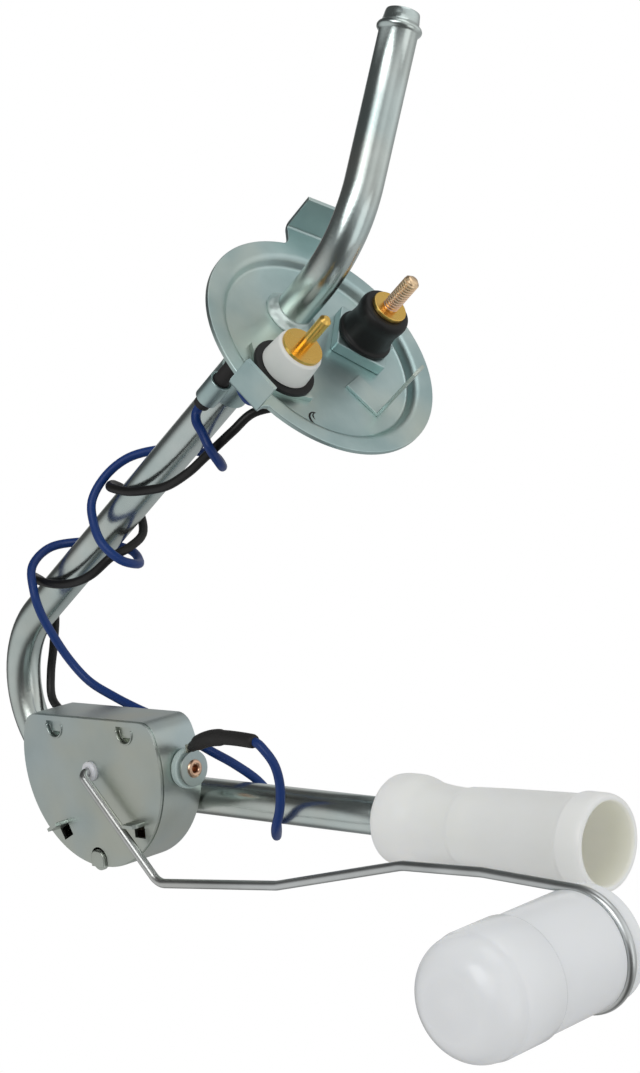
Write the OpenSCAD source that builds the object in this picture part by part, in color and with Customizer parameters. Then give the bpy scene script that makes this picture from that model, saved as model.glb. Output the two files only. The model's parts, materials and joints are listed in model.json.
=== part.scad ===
// Fuel level sender for a fuel tank: flange plate with two insulated terminals, a bent
// fuel tube with a strainer, and a resistor housing with a float on a wire arm.
// The sender enters the tank from below: the origin is the centre of the flange's seat,
// and +Z points up into the tank. The modules are drawn with the flange on top, as on a
// bench, and in_tank turns each of them over.

/* [Flange plate] */
// Outside diameter of the flange plate
flange_d = 63.5; // [62:0.5:66]
// Thickness of the pressed plate
plate_t = 1.2; // [1:0.1:1.5]
// Diameter of the flat floor of the dish
floor_d = 50; // [49:0.5:51]
// Depth of the floor below the rim
floor_drop = 2.5; // [2.2:0.1:2.9]
// Distance from the flange's centre to the fold of the large ear
large_ear_reach = 38.2; // [37:0.1:40]
// Width of the large ear
large_ear_w = 13; // [11:0.5:15]
// Height of the large ear above the seat
large_ear_h = 11.4; // [9:0.1:14]
// Distance from the flange's centre to the fold of the small ear
small_ear_reach = 35.8; // [35.5:0.1:37.5]
// Width of the small ear
small_ear_w = 9.4; // [8:0.1:11]
// Height of the small ear above the seat
small_ear_h = 9.2; // [8:0.1:12]

/* [Fuel tube] */
// Outside diameter of the tube
tube_d = 9.53; // [9:0.01:10]
// Wall thickness of the tube
tube_wall = 0.71; // [0.6:0.01:1]
// Length of the tube from the seat down to its lower bend
main_len = 133; // [128:1:140]
// Radius of the lower bend, at the middle of the tube
low_bend_r = 26; // [24:1:28]
// Angle of the lower bend
low_bend_a = 145; // [142:1:148]
// Length of the lower straight, up to its end inside the strainer
low_len = 138; // [134:1:144]
// Height of the stub above the seat
stub_len = 10; // [8:1:14]
// Radius of the upper bend, at the middle of the tube
top_bend_r = 30; // [26:1:34]
// Angle of the upper bend
top_bend_a = 55; // [45:1:60]
// Length of the outlet straight
outlet_len = 42; // [36:1:60]
// How far the hose bead stands proud
bead_h = 0.75; // [0.5:0.05:1]

/* [Signal terminal] */
// Diameter of the white insulator at its foot
signal_ins_d = 12.7; // [12:0.1:13.5]
// Height of the white insulator
signal_ins_h = 7.2; // [6:0.1:9]
// Diameter of the smooth pin
signal_pin_d = 3; // [2.6:0.1:3.4]
// Free length of the smooth pin
signal_pin_len = 10.4; // [8:0.1:14]

/* [Stud terminal] */
// Diameter of the black insulator at its shoulder
stud_ins_d = 12.6; // [12:0.1:13.4]
// Height of the black insulator
stud_ins_h = 9.4; // [8:0.1:11]
// Diameter of the stud
stud_d = 4; // [3.5:0.1:4.4]
// Free length of the stud above its washer
stud_len = 10; // [8:0.1:14]

/* [Resistor housing] */
// Diameter of the round of the housing
can_d = 54.4; // [53:0.2:56]
// Distance from the hub to the flat top of the housing
can_flat = 12.9; // [12:0.1:14]
// Depth of the housing
can_depth = 14; // [12.5:0.5:16]
// Thickness of its sheet
can_t = 0.9; // [0.7:0.1:1]
// Distance of the hub from the end of the lower bend, along the tube
hub_along = 21.8; // [21:0.1:24]
// Distance of the hub from the line of the tube
hub_off = 9.4; // [8.8:0.1:10.4]

/* [Float arm] */
// Diameter of the arm's wire
wire_d = 2.4; // [2:0.1:2.6]
// Height of the wire above the cover
arm_lift = 3.4; // [3.2:0.1:4]
// Width of each stop tab
stop_w = 4; // [3:0.1:5]
// Angle that the arm swings
swing = 78; // [50:1:80]

/* [Float] */
// Diameter of the near half of the float
float_d = 28.2; // [27.4:0.2:30]
// How much smaller the far half is, on the diameter
float_step = 1; // [0.6:0.1:1.6]
// Length of the float
float_len = 47.5; // [42:0.5:54]
// Wall of the float
float_wall = 1.2; // [1:0.1:1.6]

/* [Strainer] */
// Length of the strainer
strainer_len = 63.8; // [60:0.2:70]
// Largest diameter of its collar
strainer_d = 22.4; // [21:0.2:24]
// Wall at its mouth
strainer_wall = 1.6; // [1.2:0.1:2]
// How far the tube reaches into the strainer
strainer_grip = 27; // [22:1:32]

/* [Leads] */
// Diameter of each lead
lead_d = 2.4; // [2:0.1:2.6]
// Diameter of the short sleeve in the clip
lead_sleeve_d = 4.2; // [3.8:0.1:4.6]

/* [Hidden] */
$fn = 48;

// Gaps between pieces that are pressed, brazed or slid together
snug = 0.05;
slip = 0.1;
free_gap = 0.3;
// Straights reach this far into the bends, which are thicker by a hair
join = 0.3;
swell = 0.02;

// Flange plate
plate_r = flange_d / 2;
floor_r = floor_d / 2;
floor_top = plate_t - floor_drop;
floor_under = -floor_drop;
wall_bend = 1.6;
wall_a = 60;
wall_line = (floor_drop - 2 * wall_bend * (1 - cos(wall_a))) / sin(wall_a);
wall_run = 2 * wall_bend * sin(wall_a) + wall_line * cos(wall_a);
fold_in = 0.8;
ear_flare = 3;
large_ear_at = 150;
small_ear_at = 287;

// Fuel tube
tube_r = tube_d / 2;
tube_in = tube_r - tube_wall;
tube_x = -11;
tube_y = -1.5;
top_bend_at = 151;
bead_from_tip = 6.2;
low_tilt = low_bend_a - 90;
low_start = [tube_x + low_bend_r * (1 - cos(low_bend_a)), tube_y,
    -main_len - low_bend_r * sin(low_bend_a)];
along = [cos(low_tilt), 0, sin(low_tilt)];
across = [sin(low_tilt), 0, -cos(low_tilt)];
ring_d = tube_d + 3.6;
ring_h = 1.7;

// Terminals
signal_base_side = 14;
signal_turn = -21;
signal_base_t = 1.2;
signal_gasket_t = 1.2;
signal_gasket_d = 16.2;
signal_out = floor_r - signal_gasket_d / 2 - 0.25;
signal_at = signal_out * [cos(-74), sin(-74)];
stud_base_side = 14;
stud_turn = 47.7;
stud_base_t = 3;
stud_gasket_t = 1.4;
stud_gasket_d = 14.6;
stud_out = floor_r - stud_base_side * 0.7072 - 0.9;
stud_at = stud_out * [cos(90.4), sin(90.4)];
shank_d = stud_d - 0.5;
spigot_d = 7;
spigot_under = 2.2;
disc_d = 10.4;
disc_t = 0.8;
stud_washer_d = 9;
stud_washer_t = 1.2;
inner_washer_d = 11;
inner_washer_t = 0.8;
tag_t = 0.6;
nut_across = 7;
nut_t = 2.4;

tag_end = -10.1;
cup_d = 8;

// Ground blade
blade_at = [11.3, 1.7];
blade_turn = 22;
blade_base = 10.5;
blade_w = 6.3;
blade_t = 0.8;
blade_top = 15.9;

// Wire clip
clip_t = 0.8;
clip_from = -31.5;
clip_h = 7.5;
sleeve_at = [-9.6, -9.6];
sleeve_from = -34;
sleeve_len = 17.5;

// Resistor housing
hub = low_start + hub_along * along - hub_off * across;
saddle_t = 0.6;
face_y = tube_y - tube_r - saddle_t - can_depth;
can_r = can_d / 2;
can_shift = 1.3;
corner_r = 5;
stop_h = 4.2;
stop_r = 20.8;
stop_slot = 3.4;
rest_a = 46.1;
stop_faces = [90, 63];
function stop_near(face, arm) = asin((wire_d / 2 + free_gap
    + stop_w / 2 * abs(cos(face - arm)) + can_t / 2 * abs(sin(face - arm))) / stop_r);
stop_places = [rest_a - stop_near(stop_faces[0], rest_a),
    rest_a + swing + stop_near(stop_faces[1], rest_a + swing)];
window_w = 6;
window_h = 4.4;
window_x = 13.9;
window_mid = 0.9;
window_y = 10.4 - can_shift;
foot_w = 6.2;
foot_h = 5;
foot_a = 92;
hub_d = 5.2;
hub_out = 1.3;
saddle_len = 22;
saddle_w = 12.4;
saddle_h = 3.2;
wire_grip = 7;

// Side terminal of the housing
side_y = -1;
side_z = 8.6;
boss_d = 10.4;
boss_t = 2;
side_washer_d = 9.2;
side_washer_t = 0.8;
rivet_d = 3.4;
rivet_head_d = 4.8;
side_sleeve_d = 3.8;
side_face = sqrt(pow(can_r, 2) - pow(side_y + can_shift, 2));
sleeve_start = [side_face + boss_t + 1.7, side_y - 6.1, side_z];
sleeve_lean = -6;
sleeve_run = 23;
// A point on the line of that sleeve, where the end of the blue lead lies
function in_sleeve(s) = let (p = sleeve_start + s * [cos(sleeve_lean), sin(sleeve_lean), 0])
    [hub[0], face_y, hub[2]] + p[0] * along + p[1] * across + [0, p[2], 0];

// Resistor
card_in = 11;
card_out = 21;
card_t = 1.2;
wind_in = 13;
wind_out = 19;
wind_t = 0.8;
turn_a = 4;
card_start_a = 30;
card_end_a = 150;

// Float arm, as points in the plane of the cover with the hub at its middle
wire_r = wire_d / 2;
knee = [25.5, 26.5];
float_at = [160.4, 26.2];
arm_points = [[0, 0], knee, [68.6, 22.3], [110.5, 12.9], [134.5, 11.9]];
arm_bends = [0, 5, 14, 14, 14];
loop_r = 13.4;
loop_a = 290;
hub_bend = arm_lift - hub_out - 0.05;

// Float
float_r = float_d / 2;
cap_r = float_r - float_step / 2;
cap_end = 2.4;
neck_lip = 2;
neck_w = wire_d + 0.2;
seam_z = -24.1;
dome_r = 8;
seam_lap = 3;

// Strainer
strainer_start = low_len - strainer_grip;
strainer_r = strainer_d / 2;
mouth_r = 11.1;
cavity_at = 30;

// Route of the blue lead, with round numbers
blue_route = [[signal_at[0], signal_at[1], tag_end], [4.4, -16, -12.6], [2, -15.8, -14.6],
    [-2.5, -14.3, -15.4], [-6.8, -11.6, -14.6], [-9.2, -9.8, -14.6], [-9.6, -9.6, -16],
    [-9.6, -9.6, -25], [-9.6, -9.6, -34.8], [-7.4, -10.6, -37.2], [-3, -11.5, -36.8],
    [1.2, -11.5, -37.4], [4, -9, -39.5], [3.8, -5, -43], [0.5, -1, -46.5], [-4, 3.2, -51],
    [-8, 6.3, -56], [-14, 6.5, -62.5], [-18.2, 3.5, -68],
    [-21, -0.5, -74.5], [-20.5, -4.5, -81], [-17, -8, -86.5], [-11, -9.8, -88.5],
    [-5, -10.6, -88.6], [0.5, -8.5, -88.2], [2.4, -4, -89], [0.6, 1.5, -92.5],
    [-6, 6.2, -98], [-14, 6.3, -106], [-19, 2.5, -112], [-20.8, -3, -116],
    [-17.5, -9.5, -118], [-11, -12, -119.5], [-5.5, -11.5, -122], [0, -9, -125],
    [7.5, -6, -127.5], [15.5, -4, -127], [23.5, -3, -122.5], [30, -3, -117.5],
    [38, -3, -111], [46, -3, -106], [54, -3, -100.5], [60, 0, -98.5], [66.5, 4.2, -98.3],
    [72.5, 5.6, -98.8], [79, 2.5, -98.5], [83, -3, -95], [83, -8.2, -88.5],
    [80.5, -9.5, -82.5], [76.5, -10, -77.8], [72, -11, -74.6], [67.5, -12, -74],
    in_sleeve(sleeve_run + 0.6), in_sleeve(sleeve_run - 8)];
// Route of the black lead, with round numbers
black_route = [[stud_at[0], stud_at[1], tag_end], [0, 14, -13], [2, 10, -17],
    [1.5, 3.5, -21.5], [-0.5, -3, -26.5], [0.3, -6.5, -32], [0.4, -8, -38], [0.2, -8.8, -44],
    [-0.3, -9, -50], [-2.5, -8.6, -59], [-6, -8.4, -66], [-10.5, -8.4, -73],
    [-15.8, -7, -79], [-18.3, -2, -82.5], [-16.4, 4, -85.5], [-11, 5.8, -87.5],
    [-5.6, 4.2, -89], [-3.2, -1.5, -90.6], [-2.4, -7, -92], [-2.4, -9, -99.5],
    [-5, -8.8, -107.5], [-9.5, -8.6, -115], [-15, -7.4, -121.5], [-18.6, -2.5, -127],
    [-16.8, 3.8, -131.5], [-11, 6, -137], [-4.5, 5.4, -143.5], [1, 4.4, -149],
    [7.5, 2.5, -151.5], [15, 0.5, -147.5], [21.5, -1.5, -141.5], [24.5, -3.6, -138],
    [24.5, -6.86, -138]];
lead_sides = 8;

module in_tank() {
    rotate([0, 180, 0]) children();
}

// Points of an arc
function arc(c, r, a0, a1, n) =
    [for (i = [0:n]) c + r * [cos(a0 + (a1 - a0) * i / n), sin(a0 + (a1 - a0) * i / n)]];

// The direction of a route at one of its points
function unit(v) = v / norm(v);
function heading(p, i) = i == 0 ? unit(p[1] - p[0])
    : i == len(p) - 1 ? unit(p[i] - p[i - 1]) : unit(p[i + 1] - p[i - 1]);
// Each ring's first side is carried over from the ring before it
function carried(p, i) = i == 0 ? unit(cross(heading(p, 0), [0.3, 0.5, 0.8]))
    : flat_to(carried(p, i - 1), heading(p, i));
function flat_to(v, h) = unit(v - (v * h) * h);
function ring_of(p, i, r, u) = let (v = cross(heading(p, i), u))
    [for (k = [0:lead_sides - 1])
        p[i] + r * (cos(360 * k / lead_sides) * u + sin(360 * k / lead_sides) * v)];

// A cord: rings at the points of its route, joined by flat sides
module cord(p, d) {
    n = len(p);
    m = lead_sides;
    points = [for (i = [0:n - 1]) each ring_of(p, i, d / 2, carried(p, i))];
    sides = [for (i = [0:n - 2]) for (k = [0:m - 1]) let (j = (k + 1) % m) each
        [[i * m + k, (i + 1) * m + k, (i + 1) * m + j], [i * m + k, (i + 1) * m + j, i * m + j]]];
    first = [for (k = [0:m - 1]) k];
    last = [for (k = [m - 1:-1:0]) (n - 1) * m + k];
    polyhedron(points = points, faces = concat(sides, [first], [last]));
}

// A straight round bar between two points in a plane
module bar(a, b, r) {
    v = b - a;
    translate([a[0], a[1], 0]) rotate([0, 0, atan2(v[1], v[0])]) rotate([0, 90, 0])
        cylinder(r = r, h = norm(v));
}

// A bent round bar: straights between the points, and an arc at each of them
function turn_at(p, i) = let (u = unit(p[i] - p[i - 1]), v = unit(p[i + 1] - p[i]))
    atan2(u[0] * v[1] - u[1] * v[0], u * v);
function cut_back(p, b, i) = i == 0 || i == len(p) - 1 ? 0 : b[i] * tan(abs(turn_at(p, i)) / 2);
module bent_bar(p, b, r) {
    for (i = [0:len(p) - 2]) {
        u = unit(p[i + 1] - p[i]);
        bar(p[i] + (cut_back(p, b, i) - (i == 0 ? 0 : join)) * u,
            p[i + 1] - (cut_back(p, b, i + 1) - join) * u, r);
    }
    for (i = [1:len(p) - 2]) {
        u = unit(p[i] - p[i - 1]);
        a = turn_at(p, i);
        side = a > 0 ? 1 : -1;
        from = p[i] - cut_back(p, b, i) * u;
        c = from + side * b[i] * [-u[1], u[0]];
        start = atan2(u[1], u[0]) - side * 90 + (a > 0 ? 0 : a);
        translate([c[0], c[1], 0]) rotate([0, 0, start]) rotate_extrude(angle = abs(a))
            translate([b[i], 0]) circle(r = r + swell);
    }
}

// The frame of the housing: x along the lower tube, y away from its flat, z to its back
module at_hub() {
    translate([hub[0], face_y, hub[2]]) rotate([0, -low_tilt, 0]) rotate([-90, 0, 0])
        children();
}

// Rim, filleted wall and floor of the dish, as half a section
function wall_mid() = concat(
    arc([floor_r, floor_under + plate_t / 2 + wall_bend], wall_bend, -90, wall_a - 90, 5),
    arc([floor_r + wall_run, plate_t / 2 - wall_bend], wall_bend, wall_a + 90, 90, 5));
function wall_lean() = concat([for (i = [0:5]) wall_a * i / 5], [for (i = [5:-1:0]) wall_a * i / 5]);
function wall_side(s) = [for (i = [0:11])
    wall_mid()[i] + s * plate_t / 2 * [-sin(wall_lean()[i]), cos(wall_lean()[i])]];

module ear(reach, w, h) {
    out = fold_in + plate_t;
    rotate([90, 0, 0]) translate([0, 0, -w / 2]) linear_extrude(w)
        polygon(concat([[plate_r - 2, 0]], arc([reach - out, out], out, -90, 0, 6),
            [[reach, h], [reach - plate_t, h]],
            arc([reach - out, out], fold_in, 0, -90, 6), [[plate_r - 2, plate_t]]));
    linear_extrude(plate_t) polygon(concat([[plate_r - 3, -w / 2 - ear_flare]],
        arc([plate_r + ear_flare / 2, -w / 2 - ear_flare], ear_flare, 150, 90, 5),
        arc([plate_r + ear_flare / 2, w / 2 + ear_flare], ear_flare, -90, -150, 5),
        [[plate_r - 3, w / 2 + ear_flare]]));
}

module flange_plate() color("lightslategray") in_tank() difference() {
    union() {
        rotate_extrude($fn = 96) polygon(concat([[0, floor_top]], wall_side(1),
            [[plate_r, plate_t], [plate_r, 0]], [for (i = [11:-1:0]) wall_side(-1)[i]],
            [[0, floor_under]]));
        rotate([0, 0, large_ear_at]) ear(large_ear_reach, large_ear_w, large_ear_h);
        rotate([0, 0, small_ear_at]) ear(small_ear_reach, small_ear_w, small_ear_h);
    }
    translate([tube_x, tube_y, floor_under - 1]) cylinder(r = tube_r + slip, h = plate_t + 2);
    translate([signal_at[0], signal_at[1], floor_under - 1])
        cylinder(d = spigot_d + 2 * slip, h = plate_t + 2);
    translate([stud_at[0], stud_at[1], floor_under - 1])
        cylinder(d = spigot_d + 2 * slip, h = plate_t + 2);
}

// The tube's own line, with any radius, so that the bore follows the outside
module tube_line(r, extra) {
    translate([tube_x, tube_y, -main_len - join])
        cylinder(r = r, h = main_len + stub_len + 2 * join);
    translate([tube_x + low_bend_r, tube_y, -main_len]) rotate([90, 0, 0])
        rotate([0, 0, 180]) rotate_extrude(angle = low_bend_a)
        translate([low_bend_r, 0]) circle(r = r + swell);
    translate(low_start - join * along) rotate([0, 90 - low_tilt, 0])
        cylinder(r = r, h = low_len + join + extra);
    translate([tube_x, tube_y, stub_len]) rotate([0, 0, top_bend_at])
        translate([top_bend_r, 0, 0]) rotate([90, 0, 0]) rotate([0, 0, 180 - top_bend_a])
        rotate_extrude(angle = top_bend_a) translate([top_bend_r, 0]) circle(r = r + swell);
    at_outlet(-join) cylinder(r = r, h = outlet_len + join + extra);
}

// A place on the outlet straight, at a distance from its bend
module at_outlet(s) {
    translate([tube_x, tube_y, stub_len]) rotate([0, 0, top_bend_at])
        translate([top_bend_r * (1 - cos(top_bend_a)), 0, top_bend_r * sin(top_bend_a)])
        rotate([0, top_bend_a, 0]) translate([0, 0, s]) children();
}

module fuel_tube() color("silver") in_tank() difference() {
    union() {
        tube_line(tube_r, 0);
        at_outlet(outlet_len - bead_from_tip) rotate_extrude()
            translate([tube_r + bead_h - 1.2, 0]) circle(r = 1.2);
    }
    tube_line(tube_in, 1);
}

module tube_braze_ring() color("gainsboro") in_tank()
    translate([tube_x, tube_y, floor_top]) rotate_extrude()
    polygon(concat([[tube_r + snug, 0]], [[ring_d / 2, 0]],
        arc([ring_d / 2 - 0.9, 0.4], 0.9, 0, 90, 4), [[tube_r + snug, ring_h]]));

// A square foot with a round hole
module square_foot(at, side, turn, t, hole) {
    translate([0, 0, floor_top]) difference() {
        intersection() {
            translate([at[0], at[1], 0]) rotate([0, 0, turn])
                translate([-side / 2, -side / 2, 0]) cube([side, side, t]);
            cylinder(r = floor_r - slip, h = t + 1, $fn = 96);
        }
        translate([at[0], at[1], -1]) cylinder(d = hole, h = t + 2);
    }
}

module signal_base() color("lightgray") in_tank() square_foot(signal_at,
    signal_base_side, signal_turn, signal_base_t, spigot_d + 2 * slip);

// A flat ring at a terminal
module flat_ring(at, z, d, hole, t) {
    translate([at[0], at[1], z]) difference() {
        cylinder(d = d, h = t);
        translate([0, 0, -1]) cylinder(d = hole, h = t + 2);
    }
}

signal_seat = floor_top + signal_base_t + signal_gasket_t;
module signal_gasket() color("black") in_tank() flat_ring(signal_at, floor_top + signal_base_t,
    signal_gasket_d, spigot_d + 2 * slip, signal_gasket_t);

module signal_insulator() color("white") in_tank() translate([signal_at[0], signal_at[1], signal_seat])
    difference() {
        rotate_extrude() polygon([[0, 0 - signal_seat + floor_under - spigot_under],
            [spigot_d / 2, floor_under - spigot_under - signal_seat], [spigot_d / 2, 0],
            [signal_ins_d / 2, 0], [signal_ins_d / 2 - 0.5, signal_ins_h - 0.5],
            [signal_ins_d / 2 - 1, signal_ins_h], [0, signal_ins_h]]);
        translate([0, 0, -30]) cylinder(d = signal_pin_d + 2 * snug, h = 60);
    }

module signal_pin() color("goldenrod") in_tank() translate([signal_at[0], signal_at[1], 0])
    rotate_extrude() polygon([[0, inner_face - 2.6], [signal_pin_d / 2, inner_face - 2.6],
        [signal_pin_d / 2, signal_seat + signal_ins_h], [disc_d / 2, signal_seat + signal_ins_h],
        [disc_d / 2, signal_seat + signal_ins_h + disc_t],
        [signal_pin_d / 2, signal_seat + signal_ins_h + disc_t],
        [signal_pin_d / 2, signal_seat + signal_ins_h + disc_t + signal_pin_len - 0.7],
        [signal_pin_d / 2 - 0.7, signal_seat + signal_ins_h + disc_t + signal_pin_len],
        [0, signal_seat + signal_ins_h + disc_t + signal_pin_len]]);

inner_face = floor_under - spigot_under;
module signal_inner_washer() color("silver") in_tank() flat_ring(signal_at, inner_face - inner_washer_t,
    inner_washer_d, signal_pin_d + 2 * slip, inner_washer_t);

// A ring tag with a cup below it, where the end of a lead starts
module cup_tag(at, hole, room, d) {
    translate([at[0], at[1], tag_end]) difference() {
        cylinder(d = d, h = tag_face + tag_t - tag_end);
        translate([0, 0, 1]) cylinder(d = room, h = tag_face - tag_end - 1);
        translate([0, 0, 1]) cylinder(d = hole, h = tag_face - tag_end + 3);
    }
}

tag_face = inner_face - inner_washer_t - tag_t;
module signal_tag() color("silver") in_tank()
    cup_tag(signal_at, signal_pin_d + 2 * slip, signal_pin_d + 2 * slip, cup_d);

stud_seat = floor_top + stud_base_t;
stud_head = stud_seat + stud_gasket_t + stud_ins_h;
module stud_base() color("gainsboro") in_tank() square_foot(stud_at,
    stud_base_side, stud_turn, stud_base_t, spigot_d + 2 * slip);

module stud_grommet() color("dimgray") in_tank() translate([stud_at[0], stud_at[1], stud_seat])
    difference() {
        rotate_extrude() polygon([[0, inner_face - stud_seat],
            [spigot_d / 2, inner_face - stud_seat], [spigot_d / 2, 0],
            [stud_gasket_d / 2, 0], [stud_gasket_d / 2, stud_gasket_t],
            [stud_ins_d / 2, stud_gasket_t + 0.5], [stud_ins_d / 2 - 0.5, stud_gasket_t + 3],
            [stud_ins_d / 2 - 0.8, stud_gasket_t + 5.5],
            [stud_ins_d / 2 + 0.5, stud_gasket_t + stud_ins_h - 2.4],
            [stud_ins_d / 2 + 0.3, stud_gasket_t + stud_ins_h - 0.8],
            [stud_ins_d / 2 - 0.6, stud_gasket_t + stud_ins_h],
            [0, stud_gasket_t + stud_ins_h]]);
        translate([0, 0, -30]) cylinder(d = shank_d + 2 * snug, h = 60);
    }

module stud_washer() color("darkgoldenrod") in_tank()
    flat_ring(stud_at, stud_head, stud_washer_d, shank_d + 2 * slip, stud_washer_t);

module threaded_stud() color("peru") in_tank() translate([stud_at[0], stud_at[1], 0])
    rotate_extrude() polygon([[0, nut_face - 0.6], [shank_d / 2, nut_face - 0.6],
        [shank_d / 2, stud_head + stud_washer_t], [stud_d / 2, stud_head + stud_washer_t],
        [stud_d / 2, stud_head + stud_washer_t + stud_len - 0.6],
        [stud_d / 2 - 0.6, stud_head + stud_washer_t + stud_len],
        [0, stud_head + stud_washer_t + stud_len]]);

module stud_inner_washer() color("silver") in_tank() flat_ring(stud_at, inner_face - inner_washer_t,
    inner_washer_d, shank_d + 2 * slip, inner_washer_t);

nut_face = tag_face - nut_t;
module stud_inner_nut() color("silver") in_tank() translate([stud_at[0], stud_at[1], nut_face])
    difference() {
        cylinder(d = nut_across / cos(30), h = nut_t, $fn = 6);
        translate([0, 0, -1]) cylinder(d = shank_d + 2 * snug, h = nut_t + 2);
    }

module stud_tag() color("silver") in_tank() cup_tag(stud_at, shank_d + 2 * slip,
    nut_across / cos(30) + 2 * free_gap, nut_across / cos(30) + 2.6);

module ground_blade() color("lightgray") in_tank() translate([blade_at[0], blade_at[1], floor_top])
    rotate([0, 0, blade_turn]) {
        cube([blade_base, blade_w, blade_t]);
        translate([blade_base, 0, 0]) rotate([0, -90, 0]) linear_extrude(blade_t)
            polygon([[0, 0], [5, 0], [6.6, 0.75], [blade_top - floor_top - 1.6, 0.75],
                [blade_top - floor_top, 1.9], [blade_top - floor_top, blade_w - 1.9],
                [blade_top - floor_top - 1.6, blade_w - 0.75], [6.6, blade_w - 0.75],
                [5, blade_w], [0, blade_w]]);
    }

// A strap round the tube, with a second eye that holds the sleeve
module wire_clip() color("lightgray") in_tank() translate([0, 0, clip_from]) difference() {
    union() {
        translate([tube_x, tube_y, 0]) cylinder(r = tube_r + slip + clip_t, h = clip_h);
        translate([sleeve_at[0], sleeve_at[1], 0])
            cylinder(d = lead_sleeve_d + 2 * slip + 2 * clip_t, h = clip_h);
    }
    translate([tube_x, tube_y, -1]) cylinder(r = tube_r + slip, h = clip_h + 2);
    translate([sleeve_at[0], sleeve_at[1], -1])
        cylinder(d = lead_sleeve_d + 2 * slip, h = clip_h + 2);
}

module blue_lead_sleeve() color("black") in_tank() translate([sleeve_at[0], sleeve_at[1], sleeve_from])
    difference() {
        cylinder(d = lead_sleeve_d, h = sleeve_len);
        translate([0, 0, -1]) cylinder(d = lead_d + 2 * free_gap, h = sleeve_len + 2);
    }

module blue_lead() color("royalblue") in_tank() cord(blue_route, lead_d);
module black_lead() color("black") in_tank() cord(black_route, lead_d);

// Outline of the housing: most of a circle, with a flat top and round corners
function d_outline(inset) = let (R = can_r - inset, f = can_flat - inset, c = corner_r - inset,
    cx = sqrt(pow(R - c, 2) - pow(f - c, 2)), a = atan2(f - c, cx))
    concat(arc([cx, c - f], c, -90, -a, 8), arc([0, 0], R, -a + 3, 177 + a, 70),
        arc([-cx, c - f], c, 180 + a, 270, 8));

module housing_can() color("darkgray") in_tank() at_hub() translate([0, -can_shift, 0]) {
    difference() {
        translate([0, 0, can_t]) linear_extrude(can_depth - can_t) polygon(d_outline(0));
        translate([0, 0, 0]) linear_extrude(can_depth - can_t) polygon(d_outline(can_t));
        translate([can_r - 6, side_y + can_shift, side_z]) rotate([0, 90, 0])
            cylinder(d = rivet_d + 2 * can_t, h = 12);
    }
    for (s = [-1, 1]) translate([window_mid + s * window_x - window_w / 2, -can_flat, can_t])
        cube([window_w, can_flat - window_y + window_h / 2 - 1.4, can_t]);
    rotate([0, 0, foot_a]) translate([can_r - foot_h, -foot_w / 2 + 0.3, 0])
        foot_tongue();
}

// The tongue at the foot of the can, folded over the cover
module foot_tongue() {
    linear_extrude(can_t) union() {
        translate([foot_w / 2, 0]) square([foot_h - foot_w / 2 - 0.9, foot_w - 0.6]);
        translate([foot_w / 2, foot_w / 2 - 0.3]) circle(d = foot_w - 0.6);
    }
    translate([foot_h - 1.9, 0, 0]) cube([1.3, foot_w - 0.6, 2 * can_t]);
}

// A tab lanced out of the cover, with its flat side at the angle face
module stop_tab(a, face) {
    translate(stop_r * [cos(a), sin(a), 0]) rotate([0, 0, face])
        translate([-can_t / 2, -stop_w / 2, -stop_h]) cube([can_t, stop_w, stop_h + can_t]);
}

// The slot that the tab was cut from
module stop_slot(a, face) {
    translate(stop_r * [cos(a), sin(a), 0]) rotate([0, 0, face])
        translate([can_t / 2, -stop_w / 2, -1]) cube([stop_slot, stop_w, can_t + 2]);
}

module housing_cover() color("darkgray") in_tank() at_hub() {
    difference() {
        translate([0, -can_shift, 0]) linear_extrude(can_t) polygon(d_outline(0.25));
        translate([0, 0, -1]) cylinder(d = hub_d + 2 * snug, h = can_t + 2);
        for (s = [-1, 1]) translate([window_mid + s * window_x, -window_y - can_shift, -1])
            linear_extrude(can_t + 2) window_shape();
        translate([0, -can_shift, 0]) rotate([0, 0, foot_a])
            translate([can_r - foot_h - free_gap, -foot_w / 2, -1])
            linear_extrude(can_t + 2) union() {
                translate([foot_w / 2, 0]) square([foot_h, foot_w]);
                translate([foot_w / 2, foot_w / 2]) circle(d = foot_w);
            }
        for (i = [0, 1]) stop_slot(stop_places[i], stop_faces[i]);
    }
    for (i = [0, 1]) stop_tab(stop_places[i], stop_faces[i]);
}

// A window with a flat top and a round foot
module window_shape() {
    translate([-window_w / 2, -window_h / 2]) square([window_w, window_h / 3]);
    intersection() {
        translate([0, -window_h / 6]) scale([1, 1]) circle(d = window_w);
        translate([-window_w / 2, -window_h / 6]) square([window_w, window_h]);
    }
}

module housing_saddle() color("darkgray") in_tank() at_hub() difference() {
    translate([-saddle_len / 2, hub_off - saddle_w / 2, can_depth])
        cube([saddle_len, saddle_w, saddle_h]);
    translate([-saddle_len, hub_off, can_depth + saddle_t + tube_r]) rotate([0, 90, 0])
        cylinder(r = tube_r + snug, h = 2 * saddle_len);
}

module terminal_insulator() color("darkcyan") in_tank() at_hub() difference() {
    union() {
        translate([side_face + 0.05, side_y, side_z]) rotate([0, 90, 0])
            cylinder(d = boss_d, h = boss_t);
        translate([side_face - can_t - 1.2, side_y, side_z]) rotate([0, 90, 0])
            cylinder(d = rivet_d + 2 * can_t - 2 * slip, h = can_t + 1.3);
    }
    translate([side_face - 10, side_y, side_z]) rotate([0, 90, 0])
        cylinder(d = rivet_d + 2 * snug, h = 20);
}

module terminal_washer() color("silver") in_tank() at_hub()
    translate([side_face + 0.05 + boss_t + tag_t, side_y, side_z]) rotate([0, 90, 0]) difference() {
        cylinder(d = side_washer_d, h = side_washer_t);
        translate([0, 0, -1]) cylinder(d = rivet_d + 2 * snug, h = side_washer_t + 2);
    }

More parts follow.
